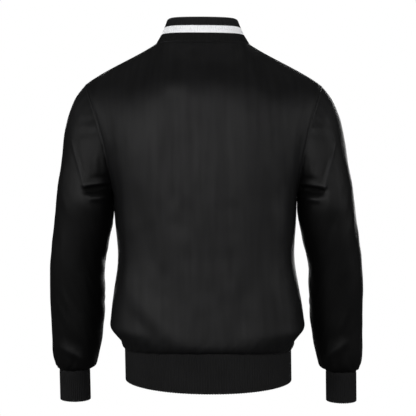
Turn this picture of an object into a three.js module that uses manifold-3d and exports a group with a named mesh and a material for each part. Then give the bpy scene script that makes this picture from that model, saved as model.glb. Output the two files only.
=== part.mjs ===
// Bomber jacket in its worn form, zipped up: thin cloth walls, open at the neck, hem and cuffs.
// Millimetres, +Z up. +X is the wearer's left, and the back faces +Y.
// The origin is the middle of the neck opening, level with the inner ends of the shoulder seams.
import * as THREE from "three";
import { mergeVertices } from "three/addons/utils/BufferGeometryUtils.js";
import Module from "manifold-3d";

// Cloth, seams and stance
const clothWall = 2; // satin shell
const ribWall = 3; // rib knit, folded double
const seamGap = 0.3; // between two pieces that are sewn together
const lean = 0.0165; // the jacket leans to the wearer's right, for each unit of height
const ribDepth = 0.6; // groove between two ribs

// Neck seam and the collar's folded edge: half widths and reaches at the side, back and front
const neckSeam = { side: 90, back: 55, front: 75, backZ: 4, sideZ: 0, frontZ: -72 };
const collarFold = { side: 67.5, back: 46, front: 62, backZ: 47, sideZ: 44.5, frontZ: -34 };
const frontDropPower = 1.5; // how fast both lines fall from the side to the front
const collarFlare = 1.8; // the collar's middle is this far inside a straight slope
const collarCorner = 14; // radius of the rounded corners at the front

// Shoulder seam, from the neck to the armhole
const shoulderHandles = [
  { x: 128, y: 0, z: -26 },
  { x: 186, y: -1, z: -48 },
];

// Level sections of the body from the waistband's seam up to the armpit.
// side: half width; back and front: reach from the side seam's plane; full: how square the section is
const bodySections = [
  { z: -588, side: 163.5, back: 118, front: 118, full: 0.6 },
  { z: -581, side: 168.5, back: 128.5, front: 127.5, full: 0.6 },
  { z: -572, side: 171, back: 133.2, front: 131.6, full: 0.61 },
  { z: -561, side: 180, back: 135.2, front: 133, full: 0.62 },
  { z: -548, side: 190, back: 135.6, front: 133.4, full: 0.62 },
  { z: -528, side: 188.5, back: 134.8, front: 133, full: 0.62 },
  { z: -504, side: 185.5, back: 132.5, front: 132.5, full: 0.62 },
  { z: -480, side: 181.5, back: 130.5, front: 131.5, full: 0.62 },
  { z: -455, side: 177.3, back: 128.5, front: 130.5, full: 0.62 },
  { z: -430, side: 173.3, back: 127.2, front: 130, full: 0.62 },
  { z: -405, side: 171.6, back: 127.2, front: 130.3, full: 0.62 },
  { z: -378, side: 172.8, back: 128.5, front: 131.5, full: 0.62 },
  { z: -350, side: 175.4, back: 131, front: 133.5, full: 0.62 },
  { z: -321, side: 176.7, back: 134, front: 135.5, full: 0.62 },
  { z: -292, side: 178, back: 136.5, front: 137.5, full: 0.62 },
];
const waistSeamDrop = { side: 5, back: -4, front: 0 }; // how far the waistband's seam lies below its section

// Middle of the back and the front edge, from the armpit's level up to the neck seam
const backRise = [
  { z: -292, y: 136.5 },
  { z: -240, y: 138.5 },
  { z: -190, y: 138 },
  { z: -140, y: 135 },
  { z: -102, y: 128.5 },
  { z: -76, y: 118 },
  { z: -50, y: 102 },
  { z: -22, y: 79 },
  { z: neckSeam.backZ, y: neckSeam.back },
];
const frontRise = [
  { z: -292, y: -137.5 },
  { z: -240, y: -139 },
  { z: -190, y: -134 },
  { z: -140, y: -120 },
  { z: -100, y: -98 },
  { z: neckSeam.frontZ, y: -neckSeam.front },
];
const frontEdge = 6; // half the opening between the fronts, where the zip shows

// Rings of the sleeve from the armhole to the cuff's seam. Each ring has its top or outer point, its under or
// inner point, the middle and reaches across the arm, and how far its back and front bow towards the body
const sleeveRings = [
  { outX: 228, outZ: -79, inX: 178, inZ: -292, midY: -3, back: 79, front: 67, bow: 10 },
  { outX: 250, outZ: -108, inX: 178.6, inZ: -299, midY: -2, back: 80, front: 68, bow: 7 },
  { outX: 267, outZ: -155, inX: 178.4, inZ: -307, midY: -1, back: 79, front: 68, bow: 4 },
  { outX: 278, outZ: -222, inX: 178, inZ: -319, midY: 1, back: 75, front: 67, bow: 2 },
  { outX: 288, outZ: -286, inX: 179.5, inZ: -333, midY: 3, back: 70, front: 66, bow: 0 },
  { outX: 294.5, outZ: -343, inX: 183.5, inZ: -358, midY: 0, back: 62.5, front: 62.5, bow: 0 },
  { outX: 301, outZ: -390, inX: 190.8, inZ: -388, midY: -8, back: 59.5, front: 60, bow: 0 },
  { outX: 306, outZ: -430, inX: 199.6, inZ: -428, midY: -17, back: 57.5, front: 58, bow: 0 },
  { outX: 308.4, outZ: -470, inX: 201.2, inZ: -468, midY: -26, back: 56, front: 56, bow: 0 },
  { outX: 309.4, outZ: -510, inX: 202.6, inZ: -507, midY: -34.5, back: 54.5, front: 54, bow: 0 },
  { outX: 309.6, outZ: -549, inX: 205, inZ: -545, midY: -42, back: 53, front: 52.5, bow: 0 },
  { outX: 309.6, outZ: -586, inX: 209.5, inZ: -582, midY: -48.5, back: 51, front: 50, bow: 0 },
  { outX: 309.8, outZ: -612, inX: 215.5, inZ: -608, midY: -52.5, back: 48.5, front: 48, bow: 0 },
  { outX: 307.6, outZ: -631, inX: 219.6, inZ: -627, midY: -55, back: 45, front: 45, bow: 0 },
  { outX: 303.4, outZ: -643, inX: 224, inZ: -640, midY: -57, back: 40.5, front: 40, bow: 0 },
  { outX: 297.9, outZ: -650, inX: 236.3, inZ: -648, midY: -58, back: 31, front: 31, bow: 0 },
];
// Places of the sleeve's cross rows among the rings, closer together where the folds lie
const sleeveSteps = [
  ...[0, 0.6, 1.2, 1.8, 2.3, 2.65, 3, 3.35, 3.7, 4.1, 4.6, 5.2],
  ...[6, 7, 8, 9, 10, 11, 12, 13, 14, 15],
];
const cuff = { midX: 267.1, half: 30.8, foldZ: -711, foldY: -66 };

// Waistband
const band = { side: 163.5, back: 118, front: 118, full: 0.6, foldZ: -661, sideLift: 5 };

// How finely the pieces are divided. The shared seams have the same points on both sides
const halfColumns = 11; // from the middle of the back, or the front edge, to the side
const neckColumns = 5; // of them, those that end on the neck seam
const neckShare = 0.42; // of the half width, the part under the neck seam
const armholeRows = 12; // from the armpit to the shoulder, on the back and on the front

// Ribs and inside parts between two points of the seam, and the levels from the seam to the folded edge
const collarRibs = { ribs: 5, innerParts: 2, levels: [0, 0.3, 0.65, 1], closed: false, facing: 1 };
const waistRibs = { ribs: 4, innerParts: 1, levels: [0, 0.5, 1], closed: false, facing: -1 };
const cuffRibs = { ribs: 2, innerParts: 1, levels: [0, 0.5, 1], closed: true, facing: -1 };

// The largest folds. side: 1 the wearer's left, -1 right; face: 1 the back of the piece, -1 its front.
// Each lies along a line seen from the back, and its relief is a ridge, or a trough where it is negative
const folds = [
  { on: "sleeve", side: 1, face: 1, x1: 229, z1: -283, x2: 186, z2: -281, width: 8, relief: -6 },
  { on: "sleeve", side: 1, face: 1, x1: 230, z1: -269, x2: 190, z2: -267, width: 8, relief: 3.5 },
  { on: "sleeve", side: 1, face: 1, x1: 222, z1: -299, x2: 192, z2: -297, width: 10, relief: 3 },
  { on: "sleeve", side: 1, face: 1, x1: 231, z1: -268, x2: 257, z2: -188, width: 9, relief: 4 },
  { on: "sleeve", side: 1, face: 1, x1: 250, z1: -602, x2: 222, z2: -622, width: 10, relief: 3 },
  { on: "sleeve", side: 1, face: -1, x1: 205, z1: -300, x2: 262, z2: -250, width: 11, relief: -4 },
  { on: "sleeve", side: 1, face: -1, x1: 202, z1: -400, x2: 262, z2: -425, width: 12, relief: -4.5 },
  { on: "sleeve", side: 1, face: -1, x1: 206, z1: -450, x2: 256, z2: -440, width: 12, relief: -3.5 },
  { on: "sleeve", side: -1, face: 1, x1: 228, z1: -288, x2: 186, z2: -286, width: 8, relief: -6 },
  { on: "sleeve", side: -1, face: 1, x1: 230, z1: -274, x2: 190, z2: -271, width: 8, relief: 3.5 },
  { on: "sleeve", side: -1, face: 1, x1: 222, z1: -304, x2: 192, z2: -302, width: 10, relief: 3 },
  { on: "sleeve", side: -1, face: 1, x1: 231, z1: -274, x2: 255, z2: -184, width: 9, relief: 4 },
  { on: "sleeve", side: -1, face: 1, x1: 247, z1: -592, x2: 220, z2: -616, width: 10, relief: 3 },
  { on: "sleeve", side: -1, face: -1, x1: 203, z1: -294, x2: 258, z2: -246, width: 11, relief: -4 },
  { on: "sleeve", side: -1, face: -1, x1: 204, z1: -408, x2: 264, z2: -426, width: 12, relief: -4.5 },
  { on: "sleeve", side: -1, face: -1, x1: 205, z1: -462, x2: 250, z2: -446, width: 12, relief: -3.5 },
  { on: "body", side: 1, face: 1, x1: 60, z1: -110, x2: 54, z2: -330, width: 20, relief: -3 },
  { on: "body", side: 1, face: 1, x1: 118, z1: -320, x2: 96, z2: -540, width: 24, relief: -3 },
  { on: "body", side: -1, face: 1, x1: 42, z1: -130, x2: 46, z2: -300, width: 20, relief: -2.5 },
  { on: "body", side: -1, face: 1, x1: 62, z1: -330, x2: 88, z2: -550, width: 26, relief: -3.5 },
  { on: "body", side: -1, face: 1, x1: 128, z1: -180, x2: 146, z2: -300, width: 20, relief: -3 },
  { on: "body", side: 1, face: -1, x1: 70, z1: -180, x2: 60, z2: -400, width: 24, relief: -3 },
  { on: "body", side: 1, face: -1, x1: 120, z1: -400, x2: 92, z2: -550, width: 24, relief: -3.5 },
  { on: "body", side: -1, face: -1, x1: 78, z1: -200, x2: 64, z2: -420, width: 24, relief: -3 },
  { on: "body", side: -1, face: -1, x1: 112, z1: -380, x2: 88, z2: -545, width: 24, relief: -3.5 },
];
const foldFade = 30; // folds die away over this distance from a seam

// Zip: two tapes behind the front edges, the chain of teeth between them, its box, slider, pull tab and stops
const zip = { tapeIn: 3.05, tapeOut: 17, tapeWall: 0.8, chainHalf: 2.75, chainWall: 2.3, chainProud: 0.8 };
const box = { height: 9, half: 4.4, web: 2.75, flange: 1.1 };
const slider = { width: 9, length: 11, plate: 1.2, room: 3, post: 2.6, postHalf: 2.6, belowNeck: 16 };
const bridge = { width: 2.2, length: 7.6, wall: 1.1, room: 2.6 };
const pull = { width: 7, length: 27, wall: 1.4, bar: 1.4, eye: 5.6, eyeWidth: 3.6 };
const stop = { height: 3, above: 1.2, inner: 1.45, outer: 4.45, shell: 0.6 };

const mix = (a, b, t) => a + (b - a) * t;
const mixPoints = (a, b, t) => a.clone().lerp(b, t);
const smooth = (t) => t * t * (3 - 2 * t);
const clamp01 = (t) => Math.min(1, Math.max(0, t));

// The value of a table's column at t, counted in rows, on a smooth curve through the rows
function columnAt(rows, name, t) {
  const i = Math.min(rows.length - 2, Math.max(0, Math.floor(t)));
  const f = t - i;
  const value = (k) => rows[Math.min(rows.length - 1, Math.max(0, k))][name];
  const slopeIn = (value(i + 1) - value(i - 1)) / (i === 0 ? 1 : 2);
  const slopeOut = (value(i + 2) - value(i)) / (i === rows.length - 2 ? 1 : 2);
  const f2 = f * f;
  const f3 = f2 * f;
  const byValues = value(i) * (2 * f3 - 3 * f2 + 1) + value(i + 1) * (3 * f2 - 2 * f3);
  return byValues + slopeIn * (f3 - 2 * f2 + f) + slopeOut * (f3 - f2);
}

// A quarter of a level section: t runs from the middle of the back or front to the side
function quarter(start, side, reach, full, t) {
  const r = 1 - t;
  const across = 3 * r * r * t * full + 3 * r * t * t + t * t * t;
  const out = r * r * r + 3 * r * r * t + 3 * r * t * t * full;
  return { x: start + (side - start) * across, y: reach * out };
}

// A closed line round the neck at turn: 0 is the middle of the back and pi the middle of the front
function neckLine(size, turn) {
  const c = Math.cos(turn);
  const fall = c < 0 ? Math.pow(-c, frontDropPower) : 0;
  const z = c < 0 ? mix(size.sideZ, size.frontZ, fall) : mix(size.sideZ, size.backZ, 1 - Math.pow(1 - c, 2));
  return new THREE.Vector3(size.side * Math.sin(turn), (c < 0 ? size.front : size.back) * c, z);
}

function shoulderSeam(t) {
  const [a, b] = shoulderHandles;
  const end = sleeveRings[0];
  return new THREE.CubicBezierCurve3(
    new THREE.Vector3(neckSeam.side, 0, neckSeam.sideZ),
    new THREE.Vector3(a.x, a.y, a.z),
    new THREE.Vector3(b.x, b.y, b.z),
    new THREE.Vector3(end.outX, end.midY, end.outZ),
  ).getPoint(t);
}

// A point of the sleeve: step counts rings from the armhole, turn is 0 outside, pi / 2 behind and pi inside
function sleevePoint(step, turn) {
  const at = (name) => columnAt(sleeveRings, name, step);
  const c = Math.cos(turn);
  const s = Math.sin(turn);
  return new THREE.Vector3(
    mix(at("inX"), at("outX"), (1 + c) / 2) - at("bow") * s * s,
    at("midY") + (s > 0 ? at("back") : at("front")) * s,
    mix(at("inZ"), at("outZ"), (1 + c) / 2),
  );
}

const lastSection = bodySections.length - 1;
const frontNeckTurn = Math.PI - Math.asin(frontEdge / neckSeam.side);

// A point of the body's left half: u from the middle (0) to the side (1), step counts sections upwards
function lowerBody(isBack, u, step) {
  const at = (name) => columnAt(bodySections, name, step);
  const start = isBack ? 0 : frontEdge;
  const q = quarter(start, at("side"), isBack ? at("back") : at("front"), at("full"), u);
  const seamward = Math.pow(clamp01(1 - step / 4), 2);
  const turn = Math.pow(Math.sin((u * Math.PI) / 2), 2);
  const drop = mix(isBack ? waistSeamDrop.back : waistSeamDrop.front, waistSeamDrop.side, turn);
  const sideY = (sleeveRings[0].midY * step) / lastSection;
  const y = (isBack ? q.y : -q.y) + sideY * (1 - q.y / (isBack ? at("back") : at("front")));
  return new THREE.Vector3(q.x, y, at("z") - drop * seamward);
}

// The upper edge of the half: neck seam for the first columns, then the shoulder seam
function topEdge(isBack, u) {
  if (u > neckShare) return shoulderSeam((u - neckShare) / (1 - neckShare));
  const turn = isBack ? (u / neckShare) * (Math.PI / 2) : mix(frontNeckTurn, Math.PI / 2, u / neckShare);
  return neckLine(neckSeam, turn);
}

// The middle of the back or the front edge, t from the armpit's level to the neck seam
function middleLine(isBack, t) {
  const rise = isBack ? backRise : frontRise;
  const step = t * (rise.length - 1);
  const end = topEdge(isBack, 0);
  const last = rise[rise.length - 1];
  const y = columnAt(rise, "y", step) + (end.y - last.y) * t * t;
  const z = columnAt(rise, "z", step) + (end.z - last.z) * t * t;
  return new THREE.Vector3(isBack ? 0 : frontEdge, y, z);
}

// Above the armpit the half is stretched between four lines: the armpit's level, the neck and shoulder seams,
// the middle of the back or the front edge, and the armhole
function upperBody(isBack, u, v) {
  const middle = (t) => middleLine(isBack, t);
  const edge = (t) => sleevePoint(0, (isBack ? 1 : -1) * Math.PI * (1 - t));
  const low = (s) => lowerBody(isBack, s, lastSection);
  const high = (s) => topEdge(isBack, s);
  const across = u * u;
  const up = v * v;
  return new THREE.Vector3()
    .addScaledVector(middle(v), 1 - across)
    .addScaledVector(edge(v), across)
    .addScaledVector(low(u), 1 - up)
    .addScaledVector(high(u), up)
    .addScaledVector(low(0), -(1 - across) * (1 - up))
    .addScaledVector(low(1), -across * (1 - up))
    .addScaledVector(high(0), -(1 - across) * up)
    .addScaledVector(high(1), -across * up);
}

// Columns crowd neither the neck nor the side: the first ones share the neck seam
function columnPlace(i) {
  const size = Math.abs(i);
  const share = size <= neckColumns
    ? (neckShare * size) / neckColumns
    : mix(neckShare, 1, (size - neckColumns) / (halfColumns - neckColumns));
  return Math.sign(i) * share;
}

// Rows of points of one half, from the waistband's seam to the top edge
function bodyRows(isBack, columns) {
  const mirrored = (p, u) => (u < 0 ? p.setX(-p.x) : p);
  const rows = [];
  for (let step = 0; step <= lastSection; step += 1)
    rows.push(columns.map((u) => mirrored(lowerBody(isBack, Math.abs(u), step), u)));
  for (let k = 1; k <= armholeRows; k += 1)
    rows.push(columns.map((u) => mirrored(upperBody(isBack, Math.abs(u), k / armholeRows), u)));
  return rows;
}

const span = (from, to) => Array.from({ length: to - from + 1 }, (_, k) => from + k);
const flipX = (rows) => rows.map((row) => row.map((p) => new THREE.Vector3(-p.x, p.y, p.z)));

// Outward normals of a net of points. facing turns them round, and closed joins the last column to the first
function normalsOf(rows, closed, facing) {
  const count = rows[0].length;
  return rows.map((row, i) =>
    row.map((_, j) => {
      const next = closed ? (j + 1) % count : Math.min(count - 1, j + 1);
      const last = closed ? (j + count - 1) % count : Math.max(0, j - 1);
      const across = row[next].clone().sub(row[last]);
      const up = rows[Math.min(rows.length - 1, i + 1)][j].clone().sub(rows[Math.max(0, i - 1)][j]);
      return across.cross(up).normalize().multiplyScalar(facing);
    }),
  );
}

// Distance of a net's point from the nearest seam, along its row and its column
function seamDistance(rows, i, j, closed) {
  const run = (from, to, pick) => {
    let sum = 0;
    for (let k = from; k < to; k += 1) sum += pick(k).distanceTo(pick(k + 1));
    return sum;
  };
  const column = (k) => rows[k][j];
  const row = (k) => rows[i][k];
  const ends = [run(0, i, column), run(i, rows.length - 1, column)];
  if (!closed) ends.push(run(0, j, row), run(j, rows[0].length - 1, row));
  return Math.min(...ends);
}

// Moves the points of a net out or in where folds cross it
function foldedRows({ rows, normals, kind, closed }) {
  return rows.map((row, i) =>
    row.map((p, j) => {
      const normal = normals[i][j];
      let relief = 0;
      for (const f of folds) {
        if (f.on !== kind || Math.sign(normal.y) !== f.face || Math.sign(p.x) !== f.side) continue;
        const along = new THREE.Vector2(f.x2 - f.x1, f.z2 - f.z1);
        const to = new THREE.Vector2(Math.abs(p.x) - f.x1, p.z - f.z1);
        const t = clamp01(to.dot(along) / along.lengthSq());
        const away = to.addScaledVector(along, -t).length() / f.width;
        relief += f.relief * Math.exp(-away * away) * Math.abs(normal.y);
      }
      const fade = smooth(clamp01(seamDistance(rows, i, j, closed) / foldFade));
      return p.clone().addScaledVector(normal, relief * fade);
    }),
  );
}

// Where the sleeve meets the body, the walls share one direction, so that their ends face each other
const seamNormals = new Map();
const keyOf = (p) => [p.x, p.y, p.z].map((value) => Math.round(value * 100)).join(" ");

function shareNormals({ rows, normals, kind, closed }) {
  rows.forEach((row, i) =>
    row.forEach((p, j) => {
      if (!isEdge(rows, i, j, closed)) return;
      const sides = seamNormals.get(keyOf(p)) || {};
      sides[kind] = (sides[kind] || new THREE.Vector3()).add(normals[i][j]);
      seamNormals.set(keyOf(p), sides);
    }),
  );
}

function seamAt(p) {
  const sides = Object.values(seamNormals.get(keyOf(p))).map((normal) => normal.clone().normalize());
  const shared = sides.reduce((sum, normal) => sum.add(normal), new THREE.Vector3()).normalize();
  const facing = sides.length > 1 ? sides[0].dot(sides[1]) : 1;
  return { shared, tight: Math.max(0, -facing) };
}

function isEdge(rows, i, j, closed) {
  return i === 0 || i === rows.length - 1 || (!closed && (j === 0 || j === rows[0].length - 1));
}

// The edges of a net, drawn back by half a gap along its rows and columns
function drawnBack(rows, closed) {
  const moved = rows.map((row) => row.map((p) => p.clone()));
  const top = rows.length - 1;
  const side = rows[0].length - 1;
  const pull = (p, from, to) => p.addScaledVector(to.clone().sub(from).normalize(), seamGap / 2);
  rows[0].forEach((_, j) => {
    pull(moved[0][j], rows[0][j], rows[1][j]);
    pull(moved[top][j], rows[top][j], rows[top - 1][j]);
  });
  if (closed) return moved;
  rows.forEach((row, i) => {
    pull(moved[i][0], row[0], row[1]);
    pull(moved[i][side], row[side], row[side - 1]);
  });
  return moved;
}

// Outer and inner nets of a panel's wall. In a narrow fold the two walls also part sideways
function panelNets(panel) {
  const { rows, normals, closed } = panel;
  const folded = foldedRows(panel);
  const outer = folded.map((row, i) =>
    row.map((p, j) => {
      if (!isEdge(rows, i, j, closed)) return p;
      return p.clone().addScaledVector(normals[i][j], -seamAt(rows[i][j]).tight * seamGap);
    }),
  );
  const inner = folded.map((row, i) =>
    row.map((p, j) => {
      if (!isEdge(rows, i, j, closed)) return p.clone().addScaledVector(normals[i][j], -clothWall);
      const seam = seamAt(rows[i][j]);
      const point = p.clone().addScaledVector(seam.shared, -clothWall);
      return point.addScaledVector(normals[i][j], -seam.tight * seamGap);
    }),
  );
  return { outer: drawnBack(outer, closed), inner: drawnBack(inner, closed) };
}

// A closed skin over an outer net and an inner net. The outer net may have several columns for each inner one
function skin({ outer, inner, closed, facing }) {
  const positions = [];
  const triangle = (a, b, c) => {
    for (const p of facing > 0 ? [a, b, c] : [a, c, b]) positions.push(p.x + lean * p.z, p.y, p.z);
  };
  const quad = (a, b, c, d) => {
    triangle(a, b, c);
    triangle(a, c, d);
  };
  const outerCount = outer[0].length;
  const innerCount = inner[0].length;
  const segments = innerCount - (closed ? 0 : 1);
  const perSegment = (outerCount - (closed ? 0 : 1)) / segments;
  for (let i = 0; i + 1 < outer.length; i += 1)
    for (let j = 0; j < segments * perSegment; j += 1) {
      const k = (j + 1) % outerCount;
      quad(outer[i][j], outer[i][k], outer[i + 1][k], outer[i + 1][j]);
    }
  for (let i = 0; i + 1 < inner.length; i += 1)
    for (let j = 0; j < segments; j += 1) {
      const k = (j + 1) % innerCount;
      quad(inner[i][j], inner[i + 1][j], inner[i + 1][k], inner[i][k]);
    }
  const rim = (outside, inside, add) => {
    for (let j = 0; j < segments; j += 1) {
      const first = j * perSegment;
      const middle = first + Math.floor(perSegment / 2);
      const k = (j + 1) % innerCount;
      for (let m = first; m < first + perSegment; m += 1)
        add(m < middle ? inside[j] : inside[k], outside[m], outside[(m + 1) % outerCount]);
      add(inside[j], outside[middle % outerCount], inside[k]);
    }
  };
  rim(outer[0], inner[0], (a, b, c) => triangle(a, c, b));
  rim(outer[outer.length - 1], inner[inner.length - 1], (a, b, c) => triangle(a, b, c));
  if (!closed) {
    for (let i = 0; i + 1 < outer.length; i += 1) {
      quad(outer[i][0], outer[i + 1][0], inner[i + 1][0], inner[i][0]);
      const a = outerCount - 1;
      const b = innerCount - 1;
      quad(outer[i][a], inner[i][b], inner[i + 1][b], outer[i + 1][a]);
    }
  }
  const geometry = new THREE.BufferGeometry();
  geometry.setAttribute("position", new THREE.Float32BufferAttribute(positions, 3));
  geometry.computeVertexNormals();
  return geometry;
}

// Materials
const satin = () => new THREE.MeshStandardMaterial({ color: 0x1d1d1f, roughness: 0.5, metalness: 0 });
const rib = () => new THREE.MeshStandardMaterial({ color: 0x161617, roughness: 0.9, metalness: 0 });
const tapeCloth = () => new THREE.MeshStandardMaterial({ color: 0x141415, roughness: 0.95, metalness: 0 });
const blackMetal = () => new THREE.MeshStandardMaterial({ color: 0x2a2a2c, roughness: 0.35, metalness: 0.9 });

const jacket = new THREE.Group();
jacket.name = "jacket";

function addMesh(name, geometry, material) {
  const mesh = new THREE.Mesh(geometry, material);
  mesh.name = name;
  jacket.add(mesh);
  return mesh;
}

// Cloth panels
const backColumns = span(-halfColumns, halfColumns).map(columnPlace);
const frontColumns = span(0, halfColumns).map(columnPlace);
const sleeveTurns = span(0, 2 * armholeRows - 1).map((k) => (k * Math.PI) / armholeRows);
const leftFront = bodyRows(false, frontColumns);
const leftSleeve = sleeveSteps.map((step) => sleeveTurns.map((turn) => sleevePoint(step, turn)));
const panels = [
  { name: "back", kind: "body", rows: bodyRows(true, backColumns), closed: false, facing: -1 },
  { name: "front_left", kind: "body", rows: leftFront, closed: false, facing: 1 },
  { name: "front_right", kind: "body", rows: flipX(leftFront), closed: false, facing: -1 },
  { name: "sleeve_left", kind: "sleeve", rows: leftSleeve, closed: true, facing: -1 },
  { name: "sleeve_right", kind: "sleeve", rows: flipX(leftSleeve), closed: true, facing: 1 },
];
for (const panel of panels) {
  panel.normals = normalsOf(panel.rows, panel.closed, panel.facing);
  shareNormals(panel);
}
for (const panel of panels) {
  panel.nets = panelNets(panel);
  addMesh(panel.name, skin({ ...panel.nets, closed: panel.closed, facing: panel.facing }), satin());
}

// Rib pieces: place(h, turn) is the outer face, h from the seam (0) to the folded edge (1).
// turns are the points of the seam that the piece is sewn to, and each stretch between two has a few ribs
function collarPlace(h, turn) {
  const low = neckLine(neckSeam, Math.abs(turn));
  const high = neckLine(collarFold, Math.abs(turn));
  const endRun = (Math.PI - Math.abs(turn)) * neckSeam.side - frontEdge;
  const corner = Math.max(0, collarCorner - Math.max(0, endRun));
  const drop = collarCorner - Math.sqrt(collarCorner ** 2 - corner ** 2);
  const height = h * (1 - drop / low.distanceTo(high));
  const inward = new THREE.Vector3(low.x, low.y, 0).setLength(collarFlare * Math.sin(Math.PI * height));
  const p = mixPoints(low, high, height).sub(inward);
  return p.setX(Math.sign(turn) * p.x);
}

function waistbandPlace(h, turn) {
  const isBack = Math.abs(turn) <= 1;
  const u = isBack ? Math.abs(turn) : 2 - Math.abs(turn);
  const low = lowerBody(isBack, u, 0);
  const q = quarter(isBack ? 0 : frontEdge, band.side, isBack ? band.back : band.front, band.full, u);
  const foldZ = band.foldZ + band.sideLift * Math.sin((u * Math.PI) / 2) ** 2;
  return new THREE.Vector3(Math.sign(turn) * q.x, isBack ? q.y : -q.y, mix(low.z, foldZ, h));
}

function cuffPlace(h, turn) {
  const low = sleevePoint(sleeveRings.length - 1, turn);
  const x = cuff.midX + cuff.half * Math.cos(turn);
  const y = cuff.foldY + cuff.half * Math.sin(turn);
  return mixPoints(low, new THREE.Vector3(x, y, cuff.foldZ), h);
}

// From the front's middle round the left side to the middle of the back, and on round the right side
const bothSides = (half) => [...half, ...half.slice(0, -1).reverse().map((turn) => -turn)];
const neckFrontColumns = frontColumns.slice(0, neckColumns);
const neckFront = neckFrontColumns.map((u) => mix(frontNeckTurn, Math.PI / 2, u / neckShare));
const neckBack = span(0, neckColumns).map((k) => ((neckColumns - k) / neckColumns) * (Math.PI / 2));
const waistFront = frontColumns.slice(0, halfColumns).map((u) => 2 - u);
const waistBack = frontColumns.slice().reverse();
const ribPieces = [
  { name: "collar", place: collarPlace, turns: bothSides([...neckFront, ...neckBack]), ...collarRibs },
  { name: "waistband", place: waistbandPlace, turns: bothSides([...waistFront, ...waistBack]), ...waistRibs },
  { name: "cuff_left", place: cuffPlace, turns: sleeveTurns, ...cuffRibs },
  { name: "cuff_right", place: cuffPlace, turns: sleeveTurns, ...cuffRibs },
];

// Splits each stretch of the seam into equal parts, which keep to the straight line between the seam's points
function splitSeam({ place, turns, closed }, parts) {
  const ends = closed ? [...turns, turns[0] + 2 * Math.PI] : turns;
  const split = [];
  for (let k = 0; k + 1 < ends.length; k += 1)
    for (let m = 0; m < parts; m += 1) {
      const turn = mix(ends[k], ends[k + 1], m / parts);
      const seam = mixPoints(place(0, ends[k]), place(0, ends[k + 1]), m / parts);
      split.push({ turn, shift: seam.sub(place(0, turn)) });
    }
  if (!closed) split.push({ turn: ends[ends.length - 1], shift: new THREE.Vector3() });
  return split;
}

function ribNets(piece) {
  const { place, turns, levels, closed, facing } = piece;
  const nudge = 0.01;
  const onward = nudge * Math.sign(turns[1] - turns[0]);
  const normalAt = (h, turn) => {
    const across = place(h, turn + onward).sub(place(h, turn - onward));
    const up = place(Math.min(1, h + nudge), turn).sub(place(Math.max(0, h - nudge), turn));
    return across.cross(up).normalize().multiplyScalar(facing);
  };
  const point = (h, { turn, shift }, depth) =>
    place(h, turn).addScaledVector(shift, (1 - h) ** 2).addScaledVector(normalAt(h, turn), -depth);
  const outerSplit = splitSeam(piece, 2 * piece.ribs);
  const innerSplit = splitSeam(piece, piece.innerParts);
  const outer = levels.map((h) => outerSplit.map((part, k) => point(h, part, (k % 2) * ribDepth)));
  const inner = levels.map((h) => innerSplit.map((part) => point(h, part, ribWall)));
  return { outer: drawnBack(outer, closed), inner: drawnBack(inner, closed) };
}

for (const piece of ribPieces) {
  const nets = ribNets(piece);
  piece.nets = nets;
  const isRight = piece.name === "cuff_right";
  const outer = isRight ? flipX(nets.outer) : nets.outer;
  const inner = isRight ? flipX(nets.inner) : nets.inner;
  const facing = isRight ? -piece.facing : piece.facing;
  addMesh(piece.name, skin({ outer, inner, closed: piece.closed, facing }), rib());
}

// The zip lies behind the left front's edge and the waistband's end: one row for each of their inner rows
const leftPanel = panels.find((panel) => panel.name === "front_left");
const waistInner = ribPieces.find((piece) => piece.name === "waistband").nets.inner;
const zipRows = [
  ...waistInner.map((row) => ({ row, out: new THREE.Vector3(0, -1, 0) })).reverse(),
  ...leftPanel.nets.inner.map((row, i) => ({ row, out: leftPanel.normals[i][0] })),
];

// The point of a zip row at x, depth inwards from the tape's outer face
function zipPoint({ row, out }, x, depth) {
  const along = row[1].clone().sub(row[0]);
  const onWall = row[0].clone().addScaledVector(along, (x - row[0].x) / along.x);
  const inward = new THREE.Vector3(0, -out.y, -out.z);
  return new THREE.Vector3(x, onWall.y, onWall.z).addScaledVector(inward, depth + seamGap);
}

function strip(rows, xFrom, xTo, outside, inside) {
  const net = (depth) => rows.map((row) => [zipPoint(row, xFrom, depth), zipPoint(row, xTo, depth)]);
  return skin({ outer: net(outside), inner: net(inside), closed: false, facing: 1 });
}
addMesh("zip_tape_left", strip(zipRows, zip.tapeIn, zip.tapeOut, 0, zip.tapeWall), tapeCloth());
const rightTape = strip(zipRows, zip.tapeIn, zip.tapeOut, 0, zip.tapeWall);
addMesh("zip_tape_right", mirrored(rightTape), tapeCloth());

// A copy on the other side of the middle, which keeps the lean
function mirrored(geometry) {
  const old = geometry.attributes.position;
  const positions = [];
  for (let k = 0; k < old.count; k += 3)
    for (const corner of [0, 2, 1]) {
      const z = old.getZ(k + corner);
      positions.push(2 * lean * z - old.getX(k + corner), old.getY(k + corner), z);
    }
  const copy = new THREE.BufferGeometry();
  copy.setAttribute("position", new THREE.Float32BufferAttribute(positions, 3));
  copy.computeVertexNormals();
  return copy;
}

// The middle of the zip from the waistband's folded edge up: distances along it, and the frame at a distance
const zipLine = zipRows.map((row) => zipPoint(row, 0, 0));
const zipReach = zipLine.map(() => 0);
for (let k = 1; k < zipLine.length; k += 1)
  zipReach[k] = zipReach[k - 1] + zipLine[k].distanceTo(zipLine[k - 1]);
const zipLength = zipReach[zipReach.length - 1];

function zipRowAt(distance) {
  const k = Math.min(zipRows.length - 2, zipReach.findLastIndex((reach) => reach <= distance));
  const t = (distance - zipReach[k]) / (zipReach[k + 1] - zipReach[k]);
  return {
    row: [0, 1].map((j) => mixPoints(zipRows[k].row[j], zipRows[k + 1].row[j], t)),
    out: mixPoints(zipRows[k].out, zipRows[k + 1].out, t).normalize(),
  };
}

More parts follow.
